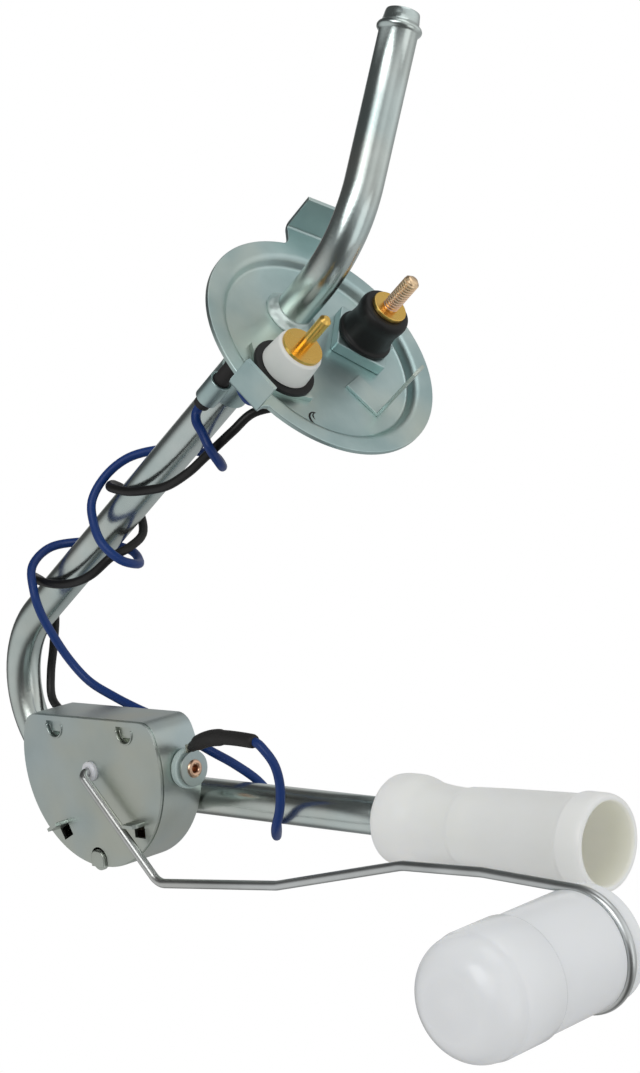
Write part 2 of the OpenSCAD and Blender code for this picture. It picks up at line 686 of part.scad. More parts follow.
// An eyelet: a tube with a rolled head
module terminal_rivet() color("goldenrod") in_tank() at_hub()
    translate([side_face + 0.05 + boss_t + tag_t + side_washer_t, side_y, side_z])
    rotate([0, 90, 0]) difference() {
        union() {
            translate([0, 0, -boss_t - side_washer_t - tag_t - 2.6]) cylinder(d = rivet_d,
                h = boss_t + side_washer_t + tag_t + 2.6);
            cylinder(d = rivet_head_d, h = 0.7);
            translate([0, 0, -boss_t - side_washer_t - tag_t - 2.8])
                cylinder(d = rivet_head_d, h = 0.6);
        }
        translate([0, 0, -0.6]) cylinder(d = rivet_d - 1.4, h = 3);
    }

// The flat tag under the washer, with a tail that reaches into the sleeve
module terminal_tag() color("silver") in_tank() at_hub() {
    difference() {
        union() {
            translate([side_face + 0.05 + boss_t, side_y, side_z]) rotate([0, 90, 0])
                cylinder(d = rivet_d + 3, h = tag_t);
            translate([side_face + 0.05 + boss_t, side_y - 6.4, side_z - 1.1]) cube([tag_t, 5, 2.2]);
        }
        translate([side_face - 10, side_y, side_z]) rotate([0, 90, 0])
            cylinder(d = rivet_d + 2 * snug, h = 30);
    }
    translate([side_face + 0.05 + boss_t, side_y - 6.4, side_z - 1.1]) cube([tail_len, tag_t, 2.2]);
}
tail_len = 4;

// Shrink sleeve from the tag to the blue lead
module terminal_sleeve() color("black") in_tank() difference() {
    at_hub() translate(sleeve_start) rotate([0, 90, sleeve_lean])
        cylinder(d = side_sleeve_d, h = sleeve_run);
    at_hub() translate(sleeve_start) rotate([0, 90, sleeve_lean]) translate([0, 0, -1])
        cylinder(d = lead_d + 2 * free_gap, h = sleeve_run + 2);
}

module sector(r0, r1, a0, a1, t) {
    rotate([0, 0, a0]) rotate_extrude(angle = a1 - a0) translate([r0, 0]) square([r1 - r0, t]);
}

module resistor_card() color("saddlebrown") in_tank() at_hub()
    translate([0, 0, can_depth - can_t - card_t]) sector(card_in, card_out, card_start_a, card_end_a, card_t);

// Turns of resistance wire, as ribs over the card
module resistor_winding() color("darkkhaki") in_tank() at_hub() {
    translate([0, 0, can_depth - can_t - card_t - wind_t / 2])
        sector(wind_in, wind_out, card_start_a + 4, card_end_a - 4, wind_t / 2);
    for (a = [card_start_a + 5:turn_a:card_end_a - 8])
        translate([0, 0, can_depth - can_t - card_t - wind_t])
            sector(wind_in + 0.2, wind_out - 0.2, a, a + turn_a / 2, wind_t / 2 + snug);
}

wiper_z = can_depth - can_t - card_t - wind_t - 2.2;
module wiper_arm() color("darkgoldenrod") in_tank() at_hub() rotate([0, 0, rest_a]) difference() {
    union() {
        translate([0, 0, wiper_z]) cylinder(d = 9, h = 0.6);
        translate([0, -2, wiper_z]) cube([17.5, 4, 0.6]);
    }
    translate([0, 0, wiper_z - 1]) cylinder(d = hub_d + 2 * snug, h = 3);
}

module wiper_contact() color("gold") in_tank() at_hub() rotate([0, 0, rest_a])
    translate([15.8, 0, wiper_z + 0.6]) {
        cylinder(d = 2.4, h = 0.9);
        translate([0, 0, 0.9]) cylinder(d1 = 2.4, d2 = 1.2, h = 0.4);
    }

module rotor_hub() color("white") in_tank() at_hub() difference() {
    rotate_extrude() polygon([[0, -hub_out], [hub_d / 2 - 0.5, -hub_out],
        [hub_d / 2, 0.5 - hub_out], [hub_d / 2, can_t + free_gap], [hub_d / 2 + 1.6, can_t + free_gap],
        [hub_d / 2 + 1.6, wiper_z - free_gap / 3], [hub_d / 2, wiper_z - free_gap / 3],
        [hub_d / 2, wiper_z + 1.8], [0, wiper_z + 1.8]]);
    translate([0, 0, -hub_out - 1]) cylinder(r = wire_r + snug, h = wire_grip + hub_out + 1.3);
}

module hub_clip() color("silver") in_tank() at_hub() translate([0, 0, wiper_z + 0.7]) difference() {
    cylinder(d = 8, h = 0.5);
    translate([0, 0, -1]) cylinder(d = hub_d + 2 * snug, h = 3);
}

// The wire: out of the hub, along its bends, and round the neck of the float
loop_lead = atan2(float_at[1] - arm_points[4][1], float_at[0] - arm_points[4][0])
    - asin(loop_r / norm(float_at - arm_points[4]));
loop_touch = float_at + loop_r * [sin(loop_lead), -cos(loop_lead)];
run_a = atan2(knee[1], knee[0]);
module float_arm() color("silver") in_tank() at_hub() {
    translate([0, 0, hub_bend - arm_lift - join])
        cylinder(r = wire_r, h = wire_grip + arm_lift - hub_bend + join);
    translate([0, 0, hub_bend - arm_lift]) rotate([0, 0, run_a]) translate([hub_bend, 0, 0])
        rotate([90, 0, 0]) rotate([0, 0, 180]) rotate_extrude(angle = 90)
        translate([hub_bend, 0]) circle(r = wire_r + swell);
    translate([0, 0, -arm_lift]) {
        bent_bar(concat([(hub_bend - join) * unit(knee)], [for (i = [1:4]) arm_points[i]], [loop_touch]),
            concat(arm_bends, [0]), wire_r);
        translate([float_at[0], float_at[1], 0]) rotate([0, 0, loop_lead - 90])
            rotate_extrude(angle = loop_a) translate([loop_r, 0]) circle(r = wire_r + swell);
    }
}

module at_float() {
    at_hub() translate([float_at[0], float_at[1], 0]) children();
}

float_tip = cap_end - float_len;
module float_body() color("white") in_tank() at_float() rotate_extrude($fn = 96) difference() {
    polygon(concat([[0, float_tip]], arc([float_r - dome_r, float_tip + dome_r], dome_r, -90, 0, 8),
        [[float_r, seam_z], [0, seam_z]]));
    polygon(concat([[0, float_tip + float_wall]],
        arc([float_r - dome_r, float_tip + dome_r], dome_r - float_wall, -90, 0, 8),
        [[float_r - float_wall, seam_z + 1], [0, seam_z + 1]]));
}

// The far half has the neck that the wire grips, and a lip inside the near half
neck_r = loop_r - wire_r - slip;
lip_r = float_r - float_wall - slip;
neck_top = -arm_lift + neck_w / 2;
neck_foot = -arm_lift - neck_w / 2;
module float_cap() color("white") in_tank() at_float() rotate_extrude($fn = 96) difference() {
    polygon([[0, cap_end], [cap_r - 0.8, cap_end], [cap_r, cap_end - 0.8], [cap_r, neck_top],
        [neck_r, neck_top], [neck_r, neck_foot], [cap_r, neck_foot], [cap_r, seam_z],
        [lip_r, seam_z], [lip_r, seam_z - seam_lap], [0, seam_z - seam_lap]]);
    polygon([[0, neck_foot - float_wall], [cap_r - float_wall, neck_foot - float_wall],
        [cap_r - float_wall, seam_z + 1], [lip_r - float_wall, seam_z],
        [lip_r - float_wall, seam_z - seam_lap - 1], [0, seam_z - seam_lap - 1]]);
}

// A moulded sleeve: collar, waist and flared mouth
module strainer() color("whitesmoke") in_tank() translate(low_start + strainer_start * along)
    rotate([0, 90 - low_tilt, 0]) difference() {
        rotate_extrude($fn = 96) polygon([[0, 0], [strainer_r - 1.6, 0], [strainer_r - 0.5, 0.9],
            [strainer_r, 3], [strainer_r, 7.6], [strainer_r - 0.5, 9.6], [strainer_r - 1.3, 12],
            [strainer_r - 1.8, 16], [strainer_r - 1.9, 23], [strainer_r - 1.5, 27],
            [strainer_r - 1.2, 34], [strainer_r - 0.8, strainer_len - 17],
            [mouth_r - 0.5, strainer_len - 8.6], [mouth_r + 0.2, strainer_len - 6.8],
            [mouth_r + 0.2, strainer_len - 1.6], [mouth_r - 0.6, strainer_len],
            [0, strainer_len]]);
        translate([0, 0, -1]) cylinder(r = tube_r + snug, h = cavity_at + 2);
        translate([0, 0, cavity_at]) cylinder(r1 = 7.2, r2 = mouth_r - strainer_wall,
            h = strainer_len - 12 - cavity_at);
        translate([0, 0, strainer_len - 12]) cylinder(r = mouth_r - strainer_wall, h = 13);
    }

flange_plate();
fuel_tube();
tube_braze_ring();
signal_base();
signal_gasket();
signal_insulator();
signal_pin();
signal_inner_washer();
signal_tag();
stud_base();
stud_grommet();
stud_washer();
threaded_stud();
stud_inner_washer();
stud_inner_nut();
stud_tag();
ground_blade();
wire_clip();
blue_lead_sleeve();
blue_lead();
black_lead();
housing_can();
housing_cover();
housing_saddle();
terminal_insulator();
terminal_washer();
terminal_rivet();
terminal_tag();
terminal_sleeve();
resistor_card();
resistor_winding();
wiper_arm();
wiper_contact();
rotor_hub();
hub_clip();
float_arm();
float_body();
float_cap();
strainer();
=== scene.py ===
# %% [markdown]
# # A fuel level sender
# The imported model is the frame: its parts come in as meshes that stay where they are.
# This script gives each a finish, and models again the pieces whose solids are plain: the
# bent tube, the wound leads, the screw thread, the moulded strainer and the two-part float.
# Everything is in metres, and the origin is the middle of the flange's seat.

# %% Load the frame
import json
import math
import bmesh
import bpy
import mathutils.noise
from mathutils import Matrix, Vector

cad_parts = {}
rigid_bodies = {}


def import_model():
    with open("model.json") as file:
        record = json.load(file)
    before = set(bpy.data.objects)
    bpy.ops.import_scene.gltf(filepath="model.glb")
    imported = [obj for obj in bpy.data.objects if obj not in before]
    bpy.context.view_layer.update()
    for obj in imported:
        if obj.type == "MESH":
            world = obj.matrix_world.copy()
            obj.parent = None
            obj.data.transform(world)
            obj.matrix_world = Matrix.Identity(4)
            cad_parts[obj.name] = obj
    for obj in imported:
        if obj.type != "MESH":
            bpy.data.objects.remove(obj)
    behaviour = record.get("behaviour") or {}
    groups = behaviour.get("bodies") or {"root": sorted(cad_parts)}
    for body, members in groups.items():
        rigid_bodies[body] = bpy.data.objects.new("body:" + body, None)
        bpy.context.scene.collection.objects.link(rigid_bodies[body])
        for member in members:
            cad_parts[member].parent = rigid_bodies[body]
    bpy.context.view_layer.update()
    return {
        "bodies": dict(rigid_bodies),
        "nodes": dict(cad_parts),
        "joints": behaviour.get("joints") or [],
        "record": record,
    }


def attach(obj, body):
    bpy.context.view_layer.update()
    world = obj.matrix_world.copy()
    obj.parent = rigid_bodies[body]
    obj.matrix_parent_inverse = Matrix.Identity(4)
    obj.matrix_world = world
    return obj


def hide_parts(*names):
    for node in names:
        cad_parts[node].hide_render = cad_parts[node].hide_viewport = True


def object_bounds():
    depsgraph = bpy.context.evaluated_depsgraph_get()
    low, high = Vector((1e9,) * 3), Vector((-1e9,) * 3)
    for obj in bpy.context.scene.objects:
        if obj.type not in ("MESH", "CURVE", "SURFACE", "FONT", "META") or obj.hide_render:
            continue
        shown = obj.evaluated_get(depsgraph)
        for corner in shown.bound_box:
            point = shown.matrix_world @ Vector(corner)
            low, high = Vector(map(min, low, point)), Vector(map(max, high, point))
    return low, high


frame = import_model()
nodes = frame["nodes"]
print("nodes in the frame:", len(nodes))

# %% [markdown]
# ## Places
# The part's source draws the sender on a bench, flange on top, and then turns it over.
# `bench` takes a point of that drawing, in millimetres, into the row frame. The lower tube
# climbs at 55 degrees on the bench, and the housing and the arm follow it: `hub_space` is
# (along the lower tube, across from it, away from the viewer), from the hub of the arm.

# %% Places
MM = 0.001
LOW_TILT = math.radians(55)
HUB = (41.102, -20.865, -124.664)
LOW_START = (36.298, -1.5, -147.913)


def bench(x, y, z):
    return Vector((-x, y, -z)) * MM


def turned(x, y, z):
    """A direction of the bench drawing in the row frame."""
    return Vector((-x, y, -z))


ALONG = turned(math.cos(LOW_TILT), 0, math.sin(LOW_TILT))
ACROSS = turned(math.sin(LOW_TILT), 0, -math.cos(LOW_TILT))
AWAY = Vector((0, 1, 0))


def hub_space(a, b, c):
    return bench(*HUB) + (ALONG * a + ACROSS * b + AWAY * c) * MM


print("hub of the arm at", [round(v, 4) for v in hub_space(0, 0, 0)])

# %% [markdown]
# ## Finishes
# A finish is a small node tree. A real surface is never one flat colour: plating has clouds
# and a tint, rubber has a bloom, and all of them have a grain that the light catches. A
# picture could give that too, but noise needs no file and has no seams. Every pattern reads
# Object coordinates, so it stays with its piece. `finish_for` starts a finish, and `noise`
# gives it a cloud of some size, which `stretch` draws out along an axis.

# %% Start of a finish
def finish_for(name):
    finish = bpy.data.materials.new(name)
    finish.use_nodes = True
    tree = finish.node_tree
    coords = tree.nodes.new("ShaderNodeTexCoord")
    return finish, tree, tree.nodes["Principled BSDF"], coords


def noise(tree, coords, scale, detail=4.0, stretch=(1, 1, 1)):
    mapping = tree.nodes.new("ShaderNodeMapping")
    mapping.inputs["Scale"].default_value = stretch
    tree.links.new(coords.outputs["Object"], mapping.inputs["Vector"])
    texture = tree.nodes.new("ShaderNodeTexNoise")
    texture.inputs["Scale"].default_value = scale
    texture.inputs["Detail"].default_value = detail
    tree.links.new(mapping.outputs["Vector"], texture.inputs["Vector"])
    return texture.outputs["Fac"]


# %% [markdown]
# A cloud runs from 0 to 1. `ramp` turns it into colours, `levels` into another range, `tinted`
# lays a colour over part of a surface, and `relief` makes the light see it as bumps.

# %% What a cloud is turned into
def ramp(tree, source, stops):
    node = tree.nodes.new("ShaderNodeValToRGB")
    marks = node.color_ramp.elements
    while len(marks) < len(stops):
        marks.new(0.5)
    for mark, (place, colour) in zip(marks, stops):
        mark.position = place
        mark.color = (*colour, 1)
    tree.links.new(source, node.inputs["Fac"])
    return node.outputs["Color"]


def levels(tree, source, low, high, start=0.0, end=1.0):
    node = tree.nodes.new("ShaderNodeMapRange")
    node.inputs["From Min"].default_value = start
    node.inputs["From Max"].default_value = end
    node.inputs["To Min"].default_value = low
    node.inputs["To Max"].default_value = high
    tree.links.new(source, node.inputs["Value"])
    return node.outputs["Result"]


def tinted(tree, colour, tint, amount):
    """Lays a tint over a colour, by an amount from 0 to 1 that changes over the surface."""
    node = tree.nodes.new("ShaderNodeMix")
    node.data_type = "RGBA"
    tree.links.new(amount, node.inputs["Factor"])
    tree.links.new(colour, node.inputs["A"])
    node.inputs["B"].default_value = (*tint, 1)
    return node.outputs["Result"]


def relief(tree, shader, source, strength, distance):
    bump = tree.nodes.new("ShaderNodeBump")
    bump.inputs["Strength"].default_value = strength
    bump.inputs["Distance"].default_value = distance
    tree.links.new(source, bump.inputs["Height"])
    tree.links.new(bump.outputs["Normal"], shader.inputs["Normal"])


# %% [markdown]
# ## Plated and bare metal
# The steel is zinc plated and passivated, which leaves it a grey with a blue-green cast and
# faint yellow clouds. One function makes all the metals: a light and a dark of the base
# colour in slow clouds, a tint in patches, and a fine grain. Roughness follows the clouds.

# %% Metals
CLOUDS = 55
CLOUD_SPLIT = (0.35, 0.65)
PATCHES = 26
PATCH_SPLIT = (0.48, 0.68)
GRAIN = 1100
GRAIN_DEPTH = 0.0002
ROUGH_SPREAD = 0.12


def metal(name, light, dark, tint, patches, rough, stretch=(1, 1, 1), grain=0.10):
    finish, tree, shader, coords = finish_for(name)
    cloud = noise(tree, coords, CLOUDS, 5, stretch)
    patch = noise(tree, coords, PATCHES, 3)
    colour = ramp(tree, cloud, list(zip(CLOUD_SPLIT, (dark, light))))
    amount = levels(tree, patch, 0.0, patches, *PATCH_SPLIT)
    tree.links.new(tinted(tree, colour, tint, amount), shader.inputs["Base Color"])
    tree.links.new(levels(tree, cloud, rough, rough + ROUGH_SPREAD), shader.inputs["Roughness"])
    shader.inputs["Metallic"].default_value = 1.0
    relief(tree, shader, noise(tree, coords, GRAIN, 3, stretch), grain, GRAIN_DEPTH)
    return finish


YELLOW_CAST = (0.62, 0.58, 0.42)
zinc = metal("zinc plate", (0.58, 0.71, 0.70), (0.41, 0.55, 0.55), YELLOW_CAST, 0.35, 0.32)
case_zinc = metal("case plate", (0.50, 0.58, 0.585), (0.42, 0.50, 0.505), YELLOW_CAST, 0.40,
                  0.30)
tube_zinc = metal("tube plate", (0.68, 0.75, 0.73), (0.53, 0.63, 0.62), (0.56, 0.46, 0.33),
                  0.35, 0.18)
brass = metal("brass", (0.96, 0.66, 0.20), (0.86, 0.54, 0.12), (0.60, 0.32, 0.09), 0.4, 0.22)
copper = metal("copper flash", (0.93, 0.68, 0.52), (0.76, 0.50, 0.36), (0.88, 0.66, 0.32),
               0.5, 0.24)
tinned = metal("tinned brass", (0.72, 0.70, 0.62), (0.58, 0.56, 0.48), YELLOW_CAST, 0.4, 0.28)
wire = metal("drawn wire", (0.74, 0.77, 0.77), (0.56, 0.59, 0.59), (0.42, 0.40, 0.35), 0.4,
             0.25)
resistance = metal("resistance wire", (0.70, 0.64, 0.50), (0.56, 0.50, 0.38),
                   (0.4, 0.3, 0.2), 0.3, 0.30)
braze = metal("braze", (0.76, 0.86, 0.85), (0.56, 0.68, 0.67), (0.60, 0.56, 0.44), 0.3, 0.52,
              grain=0.4)
print("metals:", len(bpy.data.materials))

# %% [markdown]
# ## Plastics and rubber
# Natural nylon lets light a few millimetres in, so it looks lit from inside. Subsurface does
# that, and its scale is a real depth in metres. The black rubber and the lead covers are
# the same tree without it, with a soft bloom in their colour.

# %% Plastics
SOFT_CLOUDS = 38
SOFT_SPLIT = (0.3, 0.7)
MOULD_GRAIN = 1500
MOULD_RELIEF = (0.06, 0.0001)
LIGHT_IN_RGB = (1.0, 0.95, 0.85)


def moulded(name, base, shade, rough, lets_in=0.0, depth=0.0, shine=0.5, inner=None):
    finish, tree, shader, coords = finish_for(name)
    cloud = noise(tree, coords, SOFT_CLOUDS, 4)
    colour = ramp(tree, cloud, list(zip(SOFT_SPLIT, (shade, base))))
    # inner is a painted shade colour, laid over the cavity where the mask says
    if inner:
        colour = tinted(tree, colour, inner, cavity_shade_mask(tree, coords))
    tree.links.new(colour, shader.inputs["Base Color"])
    tree.links.new(levels(tree, cloud, rough, rough + ROUGH_SPREAD), shader.inputs["Roughness"])
    shader.inputs["Specular IOR Level"].default_value = shine
    shader.inputs["Subsurface Weight"].default_value = lets_in
    shader.inputs["Subsurface Radius"].default_value = LIGHT_IN_RGB
    shader.inputs["Subsurface Scale"].default_value = depth
    relief(tree, shader, noise(tree, coords, MOULD_GRAIN, 3), *MOULD_RELIEF)
    return finish


# %% [markdown]
# The strainer's cavity is seen through its mouth, and there it looks warmer and dimmer than
# the outside, because it lies in shade and is lit only through the nylon wall. That shade is
# painted in as a warm tint. The tree measures how far a point lies along the strainer's axis
# and away from it. What is near both the mouth and the axis gets the painted shade.

# %% Painted shade inside the strainer
STRAINER_RUN = 111
STRAINER_AT = bench(LOW_START[0] + STRAINER_RUN * math.cos(LOW_TILT), LOW_START[1],
                    LOW_START[2] + STRAINER_RUN * math.sin(LOW_TILT))
MOUTH_FROM = 40
MOUTH_BLEND = 8
INSIDE_R = (9.55, 9.95)
# How strongly the painted shade is laid inside the cavity
CAVITY_SHADE_AMOUNT = 0.8


def vector_step(tree, operation, first, second=None, value=None):
    node = tree.nodes.new("ShaderNodeVectorMath")
    node.operation = operation
    for socket, source in zip(node.inputs, (first, second)):
        if isinstance(source, Vector):
            socket.default_value = source
        elif source is not None:
            tree.links.new(source, socket)
    if value is not None:
        tree.links.new(value, node.inputs["Scale"])
    return node.outputs


# The mask of the painted shade inside the strainer's cavity
def cavity_shade_mask(tree, coords):
    offset = vector_step(tree, "SUBTRACT", coords.outputs["Object"], STRAINER_AT)["Vector"]
    run = vector_step(tree, "DOT_PRODUCT", offset, ALONG)["Value"]
    on_axis = vector_step(tree, "SCALE", ALONG, value=run)["Vector"]
    away = vector_step(tree, "SUBTRACT", offset, on_axis)["Vector"]
    distance = vector_step(tree, "LENGTH", away)["Value"]
    near_axis = levels(tree, distance, CAVITY_SHADE_AMOUNT, 0.0, INSIDE_R[0] * MM, INSIDE_R[1] * MM)
    near_mouth = levels(tree, run, 0.0, 1.0, MOUTH_FROM * MM, (MOUTH_FROM + MOUTH_BLEND) * MM)
    both = tree.nodes.new("ShaderNodeMath")
    both.operation = "MULTIPLY"
    tree.links.new(near_axis, both.inputs[0])
    tree.links.new(near_mouth, both.inputs[1])
    return both.outputs["Value"]


# %% [markdown]
# Each plastic has a light and a dark of its colour, and how rough it is. The float and the
# strainer let the light in deepest.

# %% The plastics
white = moulded("white insulator", (0.84, 0.85, 0.82), (0.76, 0.77, 0.74), 0.36, 0.15, 0.001)
hub_white = moulded("hub nylon", (0.78, 0.79, 0.82), (0.70, 0.71, 0.74), 0.30, 0.4, 0.001)
black = moulded("black rubber", (0.012, 0.012, 0.012), (0.006, 0.006, 0.006), 0.42, shine=0.35)
sleeve = moulded("black sleeve", (0.026, 0.025, 0.024), (0.017, 0.016, 0.016), 0.50, shine=0.3)
blue = moulded("blue cover", (0.006, 0.042, 0.200), (0.004, 0.028, 0.145), 0.34, shine=0.35)
dark = moulded("black cover", (0.010, 0.010, 0.010), (0.005, 0.005, 0.005), 0.36, shine=0.35)
teal = moulded("teal insulator", (0.52, 0.62, 0.60), (0.42, 0.53, 0.51), 0.36, 0.3, 0.001)
card = moulded("card", (0.30, 0.16, 0.08), (0.24, 0.12, 0.06), 0.55)
float_white = moulded("float nylon", (0.91, 0.935, 0.95), (0.88, 0.905, 0.925), 0.13, 0.5, 0.002)
# The strainer's inner colour is painted shade in its cavity, seen through the mouth
cream = moulded("strainer nylon", (0.92, 0.935, 0.91), (0.89, 0.905, 0.865), 0.28, 0.7, 0.006,
                inner=(0.93, 0.92, 0.76))
print("finishes:", len(bpy.data.materials))

# %% [markdown]
# ## Which node has which finish
# The CAD nodes keep their shape, and each gets a finish in its own slot.

# %% Finish the CAD nodes
FINISHES = {
    zinc: ["flange_plate", "signal_base", "signal_inner_washer", "stud_base",
           "stud_inner_washer", "ground_blade", "wire_clip"],
    case_zinc: ["housing_can", "housing_cover", "terminal_washer"],
    tube_zinc: ["fuel_tube"],
    braze: ["tube_braze_ring", "housing_saddle"],
    brass: ["signal_pin", "stud_washer", "stud_inner_nut", "terminal_rivet",
            "wiper_arm", "wiper_contact"],
    copper: ["threaded_stud"],
    tinned: ["signal_tag", "stud_tag", "terminal_tag"],
    wire: ["float_arm", "hub_clip"],
    resistance: ["resistor_winding"],
    white: ["signal_insulator"],
    hub_white: ["rotor_hub"],
    black: ["signal_gasket", "stud_grommet"],
    sleeve: ["blue_lead_sleeve", "terminal_sleeve"],
    blue: ["blue_lead"],
    dark: ["black_lead"],
    teal: ["terminal_insulator"],
    card: ["resistor_card"],
    float_white: ["float_body", "float_cap"],
    cream: ["strainer"],
}
for finish, names in FINISHES.items():
    for name in names:
        nodes[name].data.materials.clear()
        nodes[name].data.materials.append(finish)
print("nodes with a finish:", sum(len(names) for names in FINISHES.values()))

# %% [markdown]
# ## Edges
# Pressed sheet and turned metal have no knife edges. Each CAD node keeps its own vertices:
# a weld joins the patches it came in as, and a small bevel rounds what is left sharp.

# %% Round the edges
BEVELS = {"flange_plate": 0.4, "housing_can": 0.7, "housing_cover": 0.42,
          "ground_blade": 0.15, "signal_base": 0.3, "stud_base": 0.7, "wire_clip": 0.25,
          "fuel_tube": 0.15, "signal_gasket": 0.35, "stud_grommet": 0.4,
          "signal_insulator": 0.25, "stud_washer": 0.2, "terminal_washer": 0.15,
          "terminal_insulator": 0.3, "terminal_sleeve": 0.3, "blue_lead_sleeve": 0.3,
          "rotor_hub": 0.25, "housing_saddle": 0.4, "tube_braze_ring": 0.3}
FINE_EDGE = 0.1
EDGE_SEGMENTS = 3
PATCH_WELD = 0.000002
SHARP = math.radians(28)


def soften(obj, width):
    obj.data.shade_smooth()
    if obj.data.has_custom_normals:
        obj.data.attributes.remove(obj.data.attributes["custom_normal"])
    weld = obj.modifiers.new("Weld", "WELD")
    weld.merge_threshold = PATCH_WELD
    bevel = obj.modifiers.new("Edges", "BEVEL")
    bevel.width = width * MM
    bevel.segments = EDGE_SEGMENTS
    bevel.limit_method = "ANGLE"
    bevel.angle_limit = SHARP
    bevel.use_clamp_overlap = True
    bevel.harden_normals = True


for name, obj in nodes.items():
    soften(obj, BEVELS.get(name, FINE_EDGE))
print("edges rounded on", len(nodes), "nodes")

# %% [markdown]
# ## Sweeping
# Wires and tubes are swept: a circle is extruded ring by ring along its line, and each ring
# is carried over from the one before, so that nothing twists. A curve with a bevel would do
# too, but here each ring may have a size of its own, as a pinched or flattened tube needs.
# `put` makes a finished form a piece of the object, on the body that carries it.

# %% Sweeping
def put(name, form, finish, slot, *stands_for, body="sender"):
    bmesh.ops.recalc_face_normals(form, faces=form.faces)
    mesh = bpy.data.meshes.new(name)
    form.to_mesh(mesh)
    form.free()
    mesh.shade_smooth()
    mesh.materials.append(finish)
    piece = bpy.data.objects.new(name, mesh)
    bpy.context.collection.objects.link(piece)
    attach(piece, body)
    if stands_for:
        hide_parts(*stands_for)
    print(name, len(mesh.polygons), "faces")
    return piece


def crisp(piece, angle):
    """Keeps the folds of a piece sharp where they turn by more than the angle."""
    piece.data.set_sharp_from_angle(angle=math.radians(angle))
    return piece


def stations(points):
    """A frame at each point of a line, with Z along the line."""
    side = (points[1] - points[0]).orthogonal()
    frames = []
    for i, point in enumerate(points):
        z = (points[min(i + 1, len(points) - 1)] - points[max(i - 1, 0)]).normalized()
        side = (side - z * side.dot(z)).normalized()
        turn = Matrix((side, z.cross(side), z)).transposed().to_4x4()
        frames.append(Matrix.Translation(point) @ turn)
    return frames


def sweep(frames, sides):
    """Extrudes a circle from frame to frame. A frame's scale is the radius there."""
    form = bmesh.new()
    bmesh.ops.create_circle(form, segments=sides, radius=1, matrix=frames[0])
    edges = form.edges[:]
    for last, frame in zip(frames, frames[1:]):
        grown = bmesh.ops.extrude_edge_only(form, edges=edges)["geom"]
        edges = [e for e in grown if isinstance(e, bmesh.types.BMEdge) and e.is_boundary]
        ring = {v for e in edges for v in e.verts}
        bmesh.ops.transform(form, matrix=frame @ last.inverted(), verts=list(ring))
    return form


def sized(frame, wide, high=None):
    return frame @ Matrix.Diagonal((wide * MM, (high or wide) * MM, 1, 1))


def rod(points, radius, sides=16):
    """A round rod along a line, with one radius or a list of one for each point."""
    radii = radius if isinstance(radius, list) else [radius] * len(points)
    form = sweep([sized(f, r) for f, r in zip(stations(points), radii)], sides)
    bmesh.ops.holes_fill(form, edges=[e for e in form.edges if e.is_boundary])
    return form


# %% [markdown]
# ## Turning
# Turned and moulded pieces are spun from half a section, as on a lathe. A cylinder with loop
# cuts would be a start too, but the section shows the piece's true outline in a few points.

# %% Turning
SPIN_WELD = 0.000004
NEARLY_HALF = 0.48


def spun(section, place, axis, steps=96):
    """section is (radius, distance along the axis) in millimetres, from place."""
    axis = axis.normalized()
    out = axis.orthogonal().normalized()
    form = bmesh.new()
    line = [form.verts.new(place + (out * r + axis * d) * MM) for r, d in section]
    edges = [form.edges.new(pair) for pair in zip(line, line[1:])]
    bmesh.ops.spin(form, geom=line + edges, cent=place, axis=axis, angle=2 * math.pi,
                   steps=steps, use_merge=True)
    bmesh.ops.remove_doubles(form, verts=form.verts, dist=SPIN_WELD)
    return form


def arc(centre, radius, start, end, steps=8):
    """Points of an arc in a section, from one angle to another, in degrees."""
    angles = (math.radians(start + (end - start) * k / steps) for k in range(steps + 1))
    return [(centre[0] + radius * math.cos(a), centre[1] + radius * math.sin(a))
            for a in angles]


def eased(corners, radius, steps=4):
    """A section with its corners rounded. A corner far from the next gets the full radius."""
    line = [corners[0]]
    for before, corner, after in zip(corners, corners[1:], corners[2:]):
        p, q, r = Vector(before), Vector(corner), Vector(after)
        reach = min(radius, (p - q).length * NEARLY_HALF, (r - q).length * NEARLY_HALF)
        a = q + (p - q).normalized() * reach
        b = q + (r - q).normalized() * reach
        for k in range(steps + 1):
            t = k / steps
            line.append(tuple((1 - t) ** 2 * a + 2 * t * (1 - t) * q + t * t * b))
    line.append(corners[-1])
    return line


# %% [markdown]
# ## The fuel tube
# The real tube is one length of drawn steel, bent twice, with a bead near its outlet end
# that holds a hose. The CAD tube is exact, but it is built from straights and bends. Here the
# same line is swept in one go, out over the wall and back inside it, so the bends flow. Bending
# flattened the tube a little at its upper bend, which shows as a soft facet in the photo.

# %% The fuel tube
TUBE_AXIS = (-11, -1.5)
TUBE_R = 4.765
BORE_R = 4.055
LOW_BEND_R = 26
LOW_BEND = 145
MAIN_LEN = 133
LOW_LEN = 138
STUB = 10
TOP_BEND_R = 30
TOP_BEND = 55
TOP_BEND_AT = math.radians(151)
OUTLET_LEN = 42
BEAD_AT = OUTLET_LEN - 4.2
LOW_STEPS = 32
TOP_STEPS = 16
# The bead and the tip: run along the outlet's straight, and radius
NOSE = [(BEAD_AT - 1.3, TUBE_R), (BEAD_AT - 0.9, TUBE_R + 0.35), (BEAD_AT - 0.4, TUBE_R + 0.72),
        (BEAD_AT + 0.1, TUBE_R + 0.78), (BEAD_AT + 0.6, TUBE_R + 0.55),
        (BEAD_AT + 1.1, TUBE_R - 0.05), (BEAD_AT + 1.5, TUBE_R - 0.22),
        (BEAD_AT + 2.8, TUBE_R - 0.4), (OUTLET_LEN - 0.5, TUBE_R - 0.52),
        (OUTLET_LEN - 0.1, TUBE_R - 0.62), (OUTLET_LEN, BORE_R + 0.04)]


